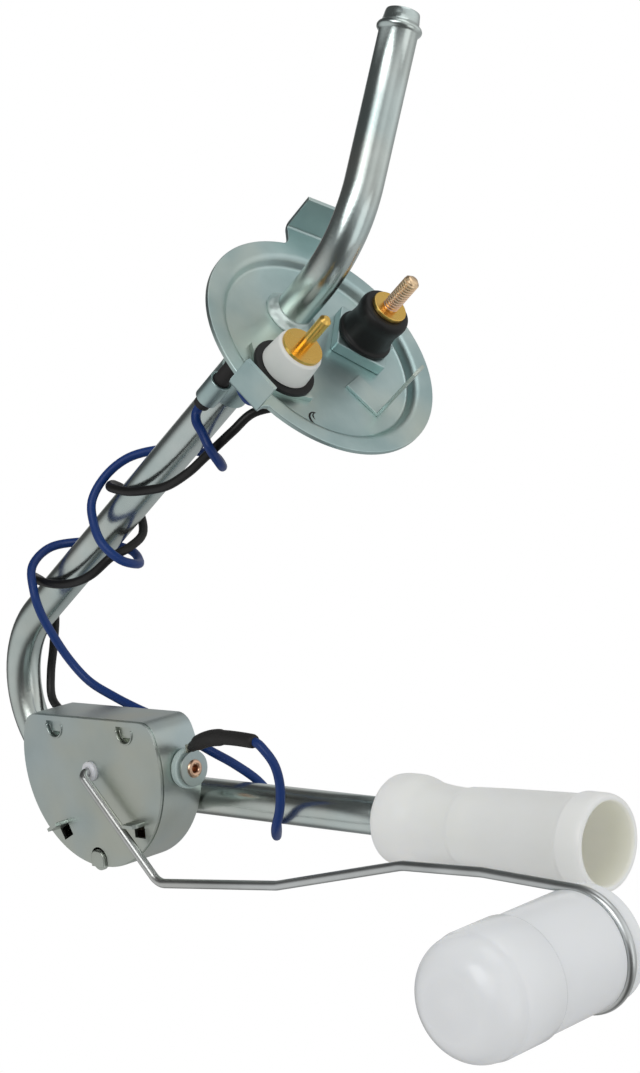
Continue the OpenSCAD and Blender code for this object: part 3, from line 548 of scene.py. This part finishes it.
def outlet_point(angle, run=0.0):
    """A point of the upper bend, or of the straight that follows it."""
    sweep_out = TOP_BEND_R * (1 - math.cos(angle)) + run * math.sin(angle)
    rise = STUB + TOP_BEND_R * math.sin(angle) + run * math.cos(angle)
    return bench(TUBE_AXIS[0] + sweep_out * math.cos(TOP_BEND_AT),
                 TUBE_AXIS[1] + sweep_out * math.sin(TOP_BEND_AT), rise)


def tube_line():
    """The middle line of the tube from the strainer to the outlet, with the radius there."""
    line = [(bench(LOW_START[0] + run * math.cos(LOW_TILT), TUBE_AXIS[1],
                   LOW_START[2] + run * math.sin(LOW_TILT)), TUBE_R)
            for run in (LOW_LEN, 90, 45)]
    for k in range(LOW_STEPS + 1):
        a = math.radians(LOW_BEND * (1 - k / LOW_STEPS))
        line.append((bench(TUBE_AXIS[0] + LOW_BEND_R * (1 - math.cos(a)), TUBE_AXIS[1],
                           -MAIN_LEN - LOW_BEND_R * math.sin(a)), TUBE_R))
    line += [(bench(*TUBE_AXIS, height), TUBE_R) for height in (-90, -45, -6)]
    top = math.radians(TOP_BEND)
    line += [(outlet_point(top * k / TOP_STEPS), TUBE_R) for k in range(TOP_STEPS + 1)]
    line += [(outlet_point(top, run), TUBE_R) for run in (6, 20)]
    return line + [(outlet_point(top, run), r) for run, r in NOSE]


line = tube_line()
frames = stations([point for point, radius in line])
bend_side = turned(math.cos(TOP_BEND_AT), math.sin(TOP_BEND_AT), 0)
FLAT_DEPTH = 0.055
# The flat lies eleven steps into the upper bend, after three points, a bend and three points
FLAT_AT = 3 + LOW_STEPS + 1 + 3 + 11
FLAT_SPREAD = 3.2
FLAT_WIDENS = 0.5
TUBE_SIDES = 48
outer = []
for i, (frame, (point, radius)) in enumerate(zip(frames, line)):
    flat = FLAT_DEPTH * math.exp(-((i - FLAT_AT) / FLAT_SPREAD) ** 2)
    way = frame.inverted().to_3x3() @ bend_side
    turn = Matrix.Rotation(math.atan2(way.y, way.x), 4, "Z")
    wide, high = radius * (1 - flat), radius * (1 + flat * FLAT_WIDENS)
    outer.append(sized(frame @ turn, wide, high) @ turn.inverted())
inner = [sized(frame, BORE_R) for frame in reversed(frames)]
form = sweep(outer + inner, TUBE_SIDES)
bmesh.ops.bridge_loops(form, edges=[e for e in form.edges if e.is_boundary])
put("bent_fuel_tube", form, tube_zinc, "plated_tube", "fuel_tube")

# %% [markdown]
# ## The braze
# Braze metal creeps up the tube and freezes in lumps. Here it is a spun fillet whose points
# are moved a little by noise, which gives it an edge that no two places share.

# %% The braze
FLOOR_TOP = -1.3
LUMP_SIZE = 1.6
LUMP_OUT = 0.28
LUMP_UP = 0.25
LUMPY_FROM = 5.0
fillet = [(TUBE_R + 0.03, 0.02), (6.7, 0.02), (6.6, 0.5), (6.1, 1.0), (5.6, 1.5), (5.2, 2.1),
          (TUBE_R + 0.03, 2.6)]
form = spun(eased(fillet, 0.4) + [fillet[0]], bench(*TUBE_AXIS, FLOOR_TOP), turned(0, 0, 1), 72)
middle = bench(*TUBE_AXIS, FLOOR_TOP)
for vert in form.verts:
    out = vert.co - middle
    out.z = 0
    if out.length > LUMPY_FROM * MM:
        lump = mathutils.noise.noise(vert.co / (LUMP_SIZE * MM))
        vert.co += out.normalized() * lump * LUMP_OUT * MM
        vert.co.z -= max(0, lump) * LUMP_UP * MM
put("braze_fillet", form, braze, "braze", "tube_braze_ring")

# %% [markdown]
# ## The leads
# A lead is held at both ends and by the clip, and its loops stand off the tube by their own
# stiffness. The route's points are the CAD route's, listed one by one. A smooth curve goes
# through every one of them, and the cover is swept along it.

# %% The leads
def smooth_route(points, steps=6):
    ends = [points[0]] + points + [points[-1]]
    line = []
    for a, b, c, d in zip(ends, ends[1:], ends[2:], ends[3:]):
        for k in range(steps):
            t = k / steps
            line.append(0.5 * (2 * b + (c - a) * t + (2 * a - 5 * b + 4 * c - d) * t * t
                               + (3 * b - a - 3 * c + d) * t ** 3))
    line.append(points[-1])
    return line


BLUE = [(4.59, -16, -10.1), (4.4, -16, -12.6), (2, -15.8, -14.6), (-2.5, -14.3, -15.4),
        (-6.8, -11.6, -14.6), (-9.2, -9.8, -14.6), (-9.6, -9.6, -16), (-9.6, -9.6, -25),
        (-9.6, -9.6, -34.8), (-7.4, -10.6, -37.2), (-3, -11.5, -36.8), (1.2, -11.5, -37.4),
        (4, -9, -39.5), (3.8, -5, -43), (0.5, -1, -46.5), (-4, 3.2, -51), (-8, 6.3, -56),
        (-14, 6.5, -62.5), (-18.2, 3.5, -68), (-21, -0.5, -74.5), (-20.5, -4.5, -81),
        (-17, -8, -86.5), (-11, -9.8, -88.5), (-5, -10.6, -88.6), (0.5, -8.5, -88.2),
        (2.4, -4, -89), (0.6, 1.5, -92.5), (-6, 6.2, -98), (-14, 6.3, -106), (-19, 2.5, -112),
        (-20.8, -3, -116), (-17.5, -9.5, -118), (-11, -12, -119.5), (-5.5, -11.5, -122),
        (0, -9, -125), (7.5, -6, -127.5), (15.5, -4, -127), (23.5, -3, -122.5),
        (30, -3, -117.5), (38, -3, -111), (46, -3, -106), (54, -3, -100.5), (60, 0, -98.5),
        (66.5, 4.2, -98.3), (72.5, 5.6, -98.8), (79, 2.5, -98.5), (83, -3, -95),
        (83, -8.2, -88.5), (80.5, -9.5, -82.5), (76.5, -10, -77.8), (72, -11, -74.6),
        (67.5, -12, -74)]
BLACK = [(-0.1, 14.2, -10.1), (0, 14, -13), (2, 10, -17), (1.5, 3.5, -21.5), (-0.5, -3, -26.5),
         (0.3, -6.5, -32), (0.4, -8, -38), (0.2, -8.8, -44), (-0.3, -9, -50), (-2.5, -8.6, -59),
         (-6, -8.4, -66), (-10.5, -8.4, -73), (-15.8, -7, -79), (-18.3, -2, -82.5),
         (-16.4, 4, -85.5), (-11, 5.8, -87.5), (-5.6, 4.2, -89), (-3.2, -1.5, -90.6),
         (-2.4, -7, -92), (-2.4, -9, -99.5), (-5, -8.8, -107.5), (-9.5, -8.6, -115),
         (-15, -7.4, -121.5), (-18.6, -2.5, -127), (-16.8, 3.8, -131.5), (-11, 6, -137),
         (-4.5, 5.4, -143.5), (1, 4.4, -149), (7.5, 2.5, -151.5), (15, 0.5, -147.5),
         (21.5, -1.5, -141.5), (24.5, -3.6, -138), (24.5, -6.86, -138)]
LEAD_R = 1.2
SIDE_Z = 8.6
blue_end = [hub_space(53.4, -9.6, SIDE_Z), hub_space(46, -9.9, SIDE_Z)]
blue_line = smooth_route([bench(*p) for p in BLUE] + blue_end)
black_line = smooth_route([bench(*p) for p in BLACK])
for name, points in (("blue lead", blue_line), ("black lead", black_line)):
    print(name, round(sum((b - a).length for a, b in zip(points, points[1:])), 3), "m")
put("blue_lead_cover", rod(blue_line, LEAD_R), blue, "blue_cover", "blue_lead")
put("black_lead_cover", rod(black_line, LEAD_R), dark, "black_cover", "black_lead")

# %% [markdown]
# ## The sleeve on the side terminal
# Shrink sleeve was put on twice: a long one, and a short one over its middle. It grips the
# tag at one end, where it is flat, and the lead at the other.

# %% The terminal's sleeve
SLEEVE = [(30.4, -6.5), (33.2, -7.9), (37.5, -9.3), (42.5, -9.9), (48, -9.9), (53.9, -9.6)]
sleeve_line = smooth_route([hub_space(a, b, SIDE_Z) for a, b in SLEEVE])
# Share of the sleeve's length, and radius there
SLEEVE_STEPS = [(0, 1.25), (0.14, 1.5), (0.18, 2.0), (0.42, 2.15), (0.56, 2.2), (0.60, 1.9),
                (0.96, 1.85), (1.0, 1.55)]


def sleeve_radius(t):
    for (a, low), (b, high) in zip(SLEEVE_STEPS, SLEEVE_STEPS[1:]):
        if t <= b:
            return low + (high - low) * (t - a) / (b - a)
    return SLEEVE_STEPS[-1][1]


radii = [sleeve_radius(i / (len(sleeve_line) - 1)) for i in range(len(sleeve_line))]
put("shrink_sleeve", rod(sleeve_line, radii, 20), sleeve, "black_sleeve", "terminal_sleeve")

# %% [markdown]
# ## The threaded stud
# A thread is a zigzag that is turned round the stud while it moves one pitch along. Spin does
# both at once. Bisecting cuts the ends square, and the last turn is pulled in to a point.

# %% The threaded stud
STUD = (-0.099, 14.199)
STUD_R = 2.0
PITCH = 0.8
THREAD_DEPTH = 0.34
STUD_FOOT = 13.7
STUD_TOP = 23.7
TIP_LEN = 0.8
START_BELOW = 1
SPARE_TURNS = 3
THREAD_STEPS = 36
THREAD_WELD = 0.000006


def threaded_stud():
    axis = turned(0, 0, 1)
    foot, top = bench(*STUD, STUD_FOOT - START_BELOW), bench(*STUD, STUD_TOP)
    turns = int((STUD_TOP - STUD_FOOT + START_BELOW) / PITCH) + SPARE_TURNS
    form = bmesh.new()
    line = []
    for i in range(turns):
        for radius, step in ((STUD_R, -1.0), (STUD_R, -0.82),
                             (STUD_R - THREAD_DEPTH, -0.5), (STUD_R, -0.18)):
            line.append(form.verts.new(foot + Vector((radius, 0, 0)) * MM
                                       + axis * (i + step) * PITCH * MM))
    edges = [form.edges.new(pair) for pair in zip(line, line[1:])]
    bmesh.ops.spin(form, geom=line + edges, cent=foot, axis=axis, angle=2 * math.pi,
                   steps=THREAD_STEPS, dvec=axis * PITCH * MM / THREAD_STEPS)
    bmesh.ops.remove_doubles(form, verts=form.verts, dist=THREAD_WELD)
    for place, way in ((foot, -axis), (top, axis)):
        geometry = form.verts[:] + form.edges[:] + form.faces[:]
        bmesh.ops.bisect_plane(form, geom=geometry, plane_co=place, plane_no=way,
                               clear_outer=True)
    for vert in form.verts:
        past = (vert.co - top).dot(axis) + TIP_LEN * MM
        out = vert.co - foot
        out -= axis * out.dot(axis)
        limit = STUD_R * MM - max(0.0, past)
        if out.length > limit:
            vert.co -= out.normalized() * (out.length - limit)
    bmesh.ops.holes_fill(form, edges=[e for e in form.edges if e.is_boundary])
    return form


form = threaded_stud()
SHANK_R = 1.75
NUT_FACE = -8.5
SHANK_DROP = 0.6
shank = bench(*STUD, (NUT_FACE + STUD_FOOT) / 2 - SHANK_DROP)
bmesh.ops.create_cone(form, cap_ends=True, segments=32, radius1=SHANK_R * MM,
                      radius2=SHANK_R * MM, depth=(STUD_FOOT - NUT_FACE) * MM,
                      matrix=Matrix.Translation(shank))
crisp(put("stud_thread", form, copper, "copper_stud", "threaded_stud"), 50)

# %% [markdown]
# ## The rubber grommet of the stud
# A broad foot seals on its base, and the neck above it is squeezed to a slight waist.

# %% The grommet
STUD_SEAT = 1.7
grommet = [(0, -6.4), (3.5, -6.4), (3.5, 0), (7.3, 0), (7.3, 1.1), (6.7, 1.5), (6.5, 2.0),
           (6.15, 4.4), (6.1, 6.2), (6.5, 8.0), (6.55, 9.4), (6.1, 10.5), (5.2, 10.8), (0, 10.8)]
put("grommet", spun(eased(grommet, 0.8), bench(*STUD, STUD_SEAT), turned(0, 0, 1), 72), black,
    "black_rubber", "stud_grommet")

# %% [markdown]
# ## The strainer
# A moulded sleeve: a collar that grips the tube, a waist, a slow flare and a bead at the
# mouth. Outside and inside are one closed half section, spun round the lower tube.

# %% The strainer
outside = [(4.85, 0.1), (9.4, 0.0), (10.9, 0.9), (11.25, 3), (11.25, 7.4), (10.75, 9.6),
           (9.9, 12), (9.35, 16), (9.1, 20.5), (9.15, 22.6), (9.5, 23.6), (9.7, 28),
           (9.95, 34), (10.35, 47), (10.55, 55.0), (10.8, 56.2), (11.3, 57), (11.3, 62.3),
           (10.9, 63.5), (10.2, 63.8), (9.6, 63.5)]
inside = [(9.5, 62.6), (9.5, 52), (7.2, 30), (4.85, 30), (4.85, 0.1)]
put("strainer_sleeve", spun(eased(outside, 1.2) + eased(inside, 0.6), STRAINER_AT, ALONG, 112),
    cream, "strainer_plastic", "strainer")

# %% [markdown]
# ## The float
# Two mouldings are pressed together. The near one is a cup with a round shoulder, and the far
# one is half a millimetre slimmer and has the neck that the wire grips. Both are hollow.

# %% The float
FLOAT = (160.4, 26.2)
FLOAT_R = 14.1
CAP_R = 13.6
DOME_R = 8.0
FLOAT_TIP = -47.0
SEAM = -25.9
WALL = 1.2
SHOULDER_STEP = 0.22
shoulder = (FLOAT_R - SHOULDER_STEP - DOME_R, FLOAT_TIP + DOME_R)
near_half = ([(0, FLOAT_TIP), (2.4, FLOAT_TIP + 0.01), (2.9, FLOAT_TIP + 0.16)]
             + arc(shoulder, DOME_R - 0.1, -80, 0, 16)
             + [(FLOAT_R - SHOULDER_STEP, FLOAT_TIP + DOME_R + 0.8),
                (FLOAT_R, FLOAT_TIP + DOME_R + 1.3), (FLOAT_R, SEAM - 0.5),
                (FLOAT_R - 0.15, SEAM - 0.12), (FLOAT_R - 0.5, SEAM), (FLOAT_R - WALL, SEAM)]
             + arc(shoulder, DOME_R - WALL, 0, -90, 12) + [(0, FLOAT_TIP + WALL)])
put("float_near_half", spun(near_half, hub_space(*FLOAT, 0), AWAY, 112), float_white,
    "float_plastic", "float_body", body="arm")
NECK_R = 12.1
far_half = [(0, 2.4), (12.6, 2.4), (CAP_R, 1.5), (CAP_R, -2.1), (NECK_R, -2.1),
            (NECK_R, -4.7), (CAP_R, -4.7), (CAP_R, SEAM), (12.6, SEAM), (12.6, SEAM - 2),
            (11.4, SEAM - 2), (11.4, SEAM), (12.4, SEAM + 1), (12.4, -5.9), (0, -5.9)]
put("float_far_half", spun(eased(far_half, 0.5), hub_space(*FLOAT, 0), AWAY, 112), float_white,
    "float_plastic", "float_cap", body="arm")

# %% [markdown]
# ## The float's wire arm
# One spring wire comes out of the hub, turns flat, is bent four times and closes round the
# neck of the float. Each bend is a true arc, and the wire is swept along the whole line.

# %% The wire arm
WIRE_R = 1.2
ARM_LIFT = -3.4
LOOP_R = 13.4
LOOP_TURN = 290
LOOP_STEPS = 72
IN_HUB = 6.6
ARM_BENDS = [(25.5, 26.5), (68.6, 22.3), (110.5, 12.9), (134.5, 11.9)]
BEND_RADII = [2.05, 5, 14, 14, 14]


def bent(points, radii, steps=10):
    """A line through the points, with an arc of its own radius at each inner point."""
    line = [points[0]]
    for before, corner, after, radius in zip(points, points[1:], points[2:], radii):
        u, v = (corner - before).normalized(), (after - corner).normalized()
        angle = u.angle(v)
        start = corner - u * radius * math.tan(angle / 2)
        axis = u.cross(v).normalized()
        centre = start + axis.cross(u) * radius
        for k in range(steps + 1):
            turn = Matrix.Rotation(angle * k / steps, 3, axis)
            line.append(centre + turn @ (start - centre))
    return line + [points[-1]]


def wire_line():
    last = ARM_BENDS[-1]
    reach = (FLOAT[0] - last[0], FLOAT[1] - last[1])
    lead = math.atan2(reach[1], reach[0]) - math.asin(LOOP_R / math.hypot(*reach))
    touch = (FLOAT[0] + LOOP_R * math.sin(lead), FLOAT[1] - LOOP_R * math.cos(lead))
    corners = [(0, 0, IN_HUB), (0, 0, ARM_LIFT)]
    corners += [(a, b, ARM_LIFT) for a, b in ARM_BENDS + [touch]]
    points = bent([Vector(c) for c in corners], BEND_RADII)
    for k in range(1, LOOP_STEPS + 1):
        a = lead - math.pi / 2 + math.radians(LOOP_TURN) * k / LOOP_STEPS
        points.append(Vector((FLOAT[0] + LOOP_R * math.cos(a),
                              FLOAT[1] + LOOP_R * math.sin(a), ARM_LIFT)))
    return [hub_space(*p) for p in points]


put("wire_arm", rod(wire_line(), WIRE_R, 20), wire, "spring_steel", "float_arm", body="arm")

# %% [markdown]
# ## Small pressed forms
# The windows of the cover were lanced, not cut: the metal is pushed in and stays as a small
# scoop, and the edge round it is drawn up to a lip. A scoop is a ball that two planes cut to a
# quarter, and Solidify gives it the sheet's wall.

# %% Scoops and lips
WINDOWS = {"left": -13.0, "right": 14.8}
WINDOW_R = 3.0
LIP_AT = -11.13
LIP_R = 0.3
LIP_OUT = -0.02
LIP_SPAN = (-12, 192)
SCOOP_AT = -11.3
SCOOP_IN = 0.75
SCOOP_SIZE = (2.95, 3.1, 2.1)
SCOOP_WALL = 0.35


def scoop(name, a):
    """A quarter of a ball below the window's flat edge, open towards it."""
    place = hub_space(a, SCOOP_AT, SCOOP_IN)
    turn = Matrix((ALONG, ACROSS, AWAY)).transposed().to_4x4()
    shape = Matrix.Diagonal((*[size * MM for size in SCOOP_SIZE], 1))
    form = bmesh.new()
    bmesh.ops.create_uvsphere(form, u_segments=32, v_segments=16, radius=1)
    for way in ((0, -1, 0), (0, 0, -1)):
        bmesh.ops.bisect_plane(form, geom=form.verts[:] + form.edges[:] + form.faces[:],
                               plane_co=(0, 0, 0), plane_no=way, clear_outer=True)
    bmesh.ops.transform(form, matrix=Matrix.Translation(place) @ turn @ shape, verts=form.verts)
    piece = put(name, form, case_zinc, "plated_steel")
    wall = piece.modifiers.new("Wall", "SOLIDIFY")
    wall.thickness = SCOOP_WALL * MM
    return piece


for side, a in WINDOWS.items():
    scoop(side + "_scoop", a)
    rim = [hub_space(x, y, LIP_OUT) for x, y in arc((a, LIP_AT), WINDOW_R, *LIP_SPAN, 20)]
    put(side + "_window_lip", rod(rim, LIP_R, 10), case_zinc, "plated_steel")

# %% [markdown]
# The tongue at the foot of the case is folded over the cover to hold it. It is a cube drawn
# out to a strip. Two bevels shape it: a wide one on its upright edges makes the round end, and
# a fine one takes the sharpness off the rim.

# %% The folded tongue
FOOT_AT = math.radians(92)
CASE_R = 27.2
CASE_SHIFT = -1.3
TONGUE = (4.4, 5.0, 0.9)
TONGUE_INSET = 2.3
TONGUE_ROUND = 1.9
TONGUE_RIM = 0.3
TONGUE_OUT = -0.35


def folded_tongue():
    out = Vector((math.cos(FOOT_AT), math.sin(FOOT_AT)))
    side = Vector((-out.y, out.x))
    middle = out * (CASE_R - TONGUE_INSET) + Vector((0, CASE_SHIFT))
    turn = Matrix((ALONG * out.x + ACROSS * out.y, ALONG * side.x + ACROSS * side.y,
                   AWAY)).transposed().to_4x4()
    form = bmesh.new()
    bmesh.ops.create_cube(form, size=1)
    shape = Matrix.Diagonal((*[size * MM for size in TONGUE], 1))
    bmesh.ops.transform(form, matrix=shape, verts=form.verts)
    upright = [e for e in form.edges if abs(e.verts[0].co.z - e.verts[1].co.z) > 0.5 * MM
               and e.verts[0].co.x < 0]
    bmesh.ops.bevel(form, geom=upright, offset=TONGUE_ROUND * MM, segments=6, profile=0.5,
                    affect="EDGES", material=-1)
    rims = [e for e in form.edges if abs(e.verts[0].co.z - e.verts[1].co.z) < 0.01 * MM
            and e.verts[0].co.z < 0 and len(e.link_faces) == 2]
    bmesh.ops.bevel(form, geom=rims, offset=TONGUE_RIM * MM, segments=3, profile=0.5,
                    affect="EDGES", material=-1)
    bmesh.ops.transform(form, verts=form.verts,
                        matrix=Matrix.Translation(hub_space(*middle, TONGUE_OUT)) @ turn)
    return form


crisp(put("folded_tongue", folded_tongue(), case_zinc, "plated_steel"), 40)

# %% [markdown]
# The two stops of the arm were lanced out of the cover and stand straight up. Each CAD tab is
# a square blade, so it gets a skin that is a little thicker and wider and has round edges. The
# places come from the arm's swing, as the wire has to meet a tab at each end of it.

# %% Stop tabs
STOP_R = 20.8
STOP_W = 4.0
STOP_H = 4.2
REST_ANGLE = 46.1
SWING = 78
SHEET = 0.9
ARM_GAP = 0.3
SKIN = (SHEET + 0.3, STOP_W + 0.2, STOP_H + 0.6)
END_ROUND = 1.2
EDGE_ROUND = 0.28


def stop_angle(face, arm, way):
    """Where a stop stands, so that the wire meets it at the end of its swing."""
    lean = math.radians(face - arm)
    half = STOP_W / 2 * abs(math.cos(lean)) + SHEET / 2 * abs(math.sin(lean))
    reach = WIRE_R + ARM_GAP + half
    return math.radians(arm) + way * math.asin(reach / STOP_R)


def stop_tab(name, angle, face):
    form = bmesh.new()
    bmesh.ops.create_cube(form, size=1)
    shape = Matrix.Diagonal((*[size * MM for size in SKIN], 1))
    bmesh.ops.transform(form, matrix=shape, verts=form.verts)
    free_end = [e for e in form.edges if max(v.co.z for v in e.verts) < 0
                and abs(e.verts[0].co.x - e.verts[1].co.x) > 0.5 * MM]
    bmesh.ops.bevel(form, geom=free_end, offset=END_ROUND * MM, segments=5, profile=0.5,
                    affect="EDGES", material=-1)
    bmesh.ops.bevel(form, geom=form.edges[:], offset=EDGE_ROUND * MM, segments=3, profile=0.5,
                    affect="EDGES", material=-1)
    face = math.radians(face)
    side = ALONG * math.cos(face) + ACROSS * math.sin(face)
    turn = Matrix((side, AWAY.cross(side), AWAY)).transposed().to_4x4()
    middle = hub_space(STOP_R * math.cos(angle), STOP_R * math.sin(angle), SHEET - STOP_H / 2)
    bmesh.ops.transform(form, matrix=Matrix.Translation(middle) @ turn, verts=form.verts)
    crisp(put(name, form, case_zinc, "plated_steel"), 45)


stop_tab("near_stop", stop_angle(90, REST_ANGLE, -1), 90)
stop_tab("far_stop", stop_angle(63, REST_ANGLE + SWING, 1), 63)

# %% [markdown]
# The side terminal is closed by an eyelet: a tube whose end is rolled outwards over the
# washer, so its head is a ring and not a disc. It is spun, with the hole left open.

# %% The eyelet
# Distance of the washer's outer face from the hub, less a tenth that the head is pressed in
EYELET_SEAT = 30.55
EYELET_Y = -1
head = [(0, -3.0), (0.95, -3.0), (0.95, -0.1), (1.1, 0.45), (1.55, 0.72), (2.1, 0.6),
        (2.4, 0.2), (2.4, 0.0), (1.7, 0.0), (1.7, -5.9), (2.4, -5.9), (2.4, -6.3), (0, -6.3)]
seat = hub_space(EYELET_SEAT, EYELET_Y, SIDE_Z)
put("rolled_eyelet", spun(eased(head, 0.2), seat, ALONG, 64), copper, "copper_stud",
    "terminal_rivet")

# %% [markdown]
# ## Marks on the flange, in painted shade
# A punch left a crescent and a short nick in the floor of the dish. They are shallow burrs,
# so each is a thin rod, sunk in the floor, that tapers to both ends. The rods are near black:
# that is painted shade in the punched lines, as a burr is the plate's own metal.

# %% Marks on the flange, in painted shade
BURR_SINK = 0.05
BURR_STEPS = 14
BURR_END = 0.3


def burr_in_painted_shade(name, centre, radius, start, end, thick):
    line = arc(centre, radius, start, end, BURR_STEPS)
    points = [bench(x, y, FLOOR_TOP - BURR_SINK) for x, y in line]
    radii = [thick * (BURR_END + (1 - BURR_END) * math.sin(math.pi * i / BURR_STEPS))
             for i in range(BURR_STEPS + 1)]
    # The near black finish is painted shade in the punched line
    put(name, rod(points, radii, 8), dark, "black_cover")


burr_in_painted_shade("crescent_painted_shade", (18.4, -13.6), 1.9, 150, 330, 0.30)
burr_in_painted_shade("inner_crescent_painted_shade", (18.0, -13.0), 1.2, 170, 300, 0.22)
burr_in_painted_shade("nick_painted_shade", (2.0, 24.4), 0.9, 20, 170, 0.16)

# %% [markdown]
# ## Camera
# The camera stands where the photo was taken from, far off with a long lens. Its three axes
# also serve to place the studio's cards, because that is how a studio is laid out: to the
# left, above, behind.

# %% Camera
RIGHT = turned(0.49887, 0.68617, 0.52943)
UP = turned(-0.81288, 0.15858, 0.56043)
BACK = turned(0.30059, -0.70994, 0.63689)
CAMERA_AT = (210.06, -416.32, 341.62)
LENS = 80.74
SENSOR = 36
NEAREST = 0.01
camera = bpy.data.objects.new("camera", bpy.data.cameras.new("camera"))
bpy.context.collection.objects.link(camera)
bpy.context.scene.camera = camera
aim = Matrix((RIGHT, UP, BACK)).transposed().to_4x4()
camera.matrix_world = Matrix.Translation(bench(*CAMERA_AT)) @ aim
camera.data.lens = LENS
camera.data.sensor_width = SENSOR
camera.data.clip_start = NEAREST
bpy.context.scene.view_settings.view_transform = "Standard"
print("lens:", camera.data.lens, "mm")

# %% [markdown]
# ## The studio
# Polished metal shows its surroundings more than its own colour. The long streaks on the
# tube are soft white cards in a dim room, so the world is built as one: a few directions,
# each with a soft edge. To the camera, and to light that passes through a piece, the world is
# plain white, and dull surfaces get an even light from it. A floor would stand in the way,
# because the camera looks up at the sender from below.

# %% The world
world = bpy.data.worlds.new("studio")
bpy.context.scene.world = world
world.use_nodes = True
room = world.node_tree
room.nodes.clear()
direction = room.nodes.new("ShaderNodeTexCoord").outputs["Generated"]
ROOM = 0.07
# Each card: right, up, back, full and faded angle in degrees, brightness
CARDS = [(-0.80, -0.58, -0.02, 24, 56, 0.54),
         (0.67, 0.71, -0.10, 24, 62, 0.44),
         (-0.38, 0.34, 0.86, 13, 32, 1.25),
         (0.30, 0.25, 0.92, 14, 40, 0.34),
         (0.90, 0.05, 0.40, 22, 64, 0.36),
         (0.62, -0.50, -0.60, 24, 60, 0.34),
         (0.00, 0.22, -0.97, 12, 30, 0.46)]


def sum_of(first, second):
    node = room.nodes.new("ShaderNodeMath")
    node.operation = "ADD"
    for socket, source in zip(node.inputs, (first, second)):
        if isinstance(source, float):
            socket.default_value = source
        else:
            room.links.new(source, socket)
    return node.outputs["Value"]


total = ROOM
for across_view, up_view, toward_us, full, faded, bright in CARDS:
    middle = (RIGHT * across_view + UP * up_view + BACK * toward_us).normalized()
    facing = vector_step(room, "DOT_PRODUCT", direction, middle)["Value"]
    card_light = levels(room, facing, 0.0, bright, math.cos(math.radians(faded)),
                        math.cos(math.radians(full)))
    card_light.node.interpolation_type = "SMOOTHSTEP"
    total = sum_of(total, card_light)


def glow(strength):
    node = room.nodes.new("ShaderNodeBackground")
    node.inputs["Color"].default_value = (1, 1, 1, 1)
    if isinstance(strength, float):
        node.inputs["Strength"].default_value = strength
    else:
        room.links.new(strength, node.inputs["Strength"])
    return node.outputs["Background"]


def either(chance, first, second):
    node = room.nodes.new("ShaderNodeMixShader")
    room.links.new(chance, node.inputs["Fac"])
    room.links.new(first, node.inputs[1])
    room.links.new(second, node.inputs[2])
    return node.outputs["Shader"]


EVEN_LIGHT = 0.62
rays = room.nodes.new("ShaderNodeLightPath")
lit = either(rays.outputs["Is Glossy Ray"], glow(EVEN_LIGHT), glow(total))
through = either(rays.outputs["Is Transmission Ray"], lit, glow(1.0))
seen = either(rays.outputs["Is Camera Ray"], through, glow(1.0))
surface = room.nodes.new("ShaderNodeOutputWorld").inputs["Surface"]
room.links.new(seen, surface)
print("cards:", len(CARDS))

# %% [markdown]
# ## Lamps
# Three large, dim lamps give the dull pieces their roundness: one near the camera at the
# upper left, a weaker one at the right, and one from above.

# %% Lamps
def lamp(name, across_view, up_view, toward_us, size, power):
    data = bpy.data.lights.new(name, "AREA")
    data.shape = "SQUARE"
    data.size = size
    data.energy = power
    piece = bpy.data.objects.new(name, data)
    bpy.context.collection.objects.link(piece)
    way = (RIGHT * across_view + UP * up_view + BACK * toward_us).normalized()
    piece.location = MIDDLE + way * LAMP_DISTANCE
    piece.rotation_euler = way.to_track_quat("Z", "Y").to_euler()


MIDDLE = bench(60, -10, -60)
LAMP_DISTANCE = 0.7
lamp("key", -0.42, 0.36, 0.83, 0.34, 0.75)
lamp("fill", 0.75, -0.25, 0.60, 0.40, 0.35)
lamp("top", 0.25, 0.92, 0.25, 0.40, 0.45)
print("lamps:", len(bpy.data.lights))

# %% [markdown]
# ## Size
# The box of the dressed model is measured here. The dressed model has to keep the size of
# the frame.

# %% Size
low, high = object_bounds()
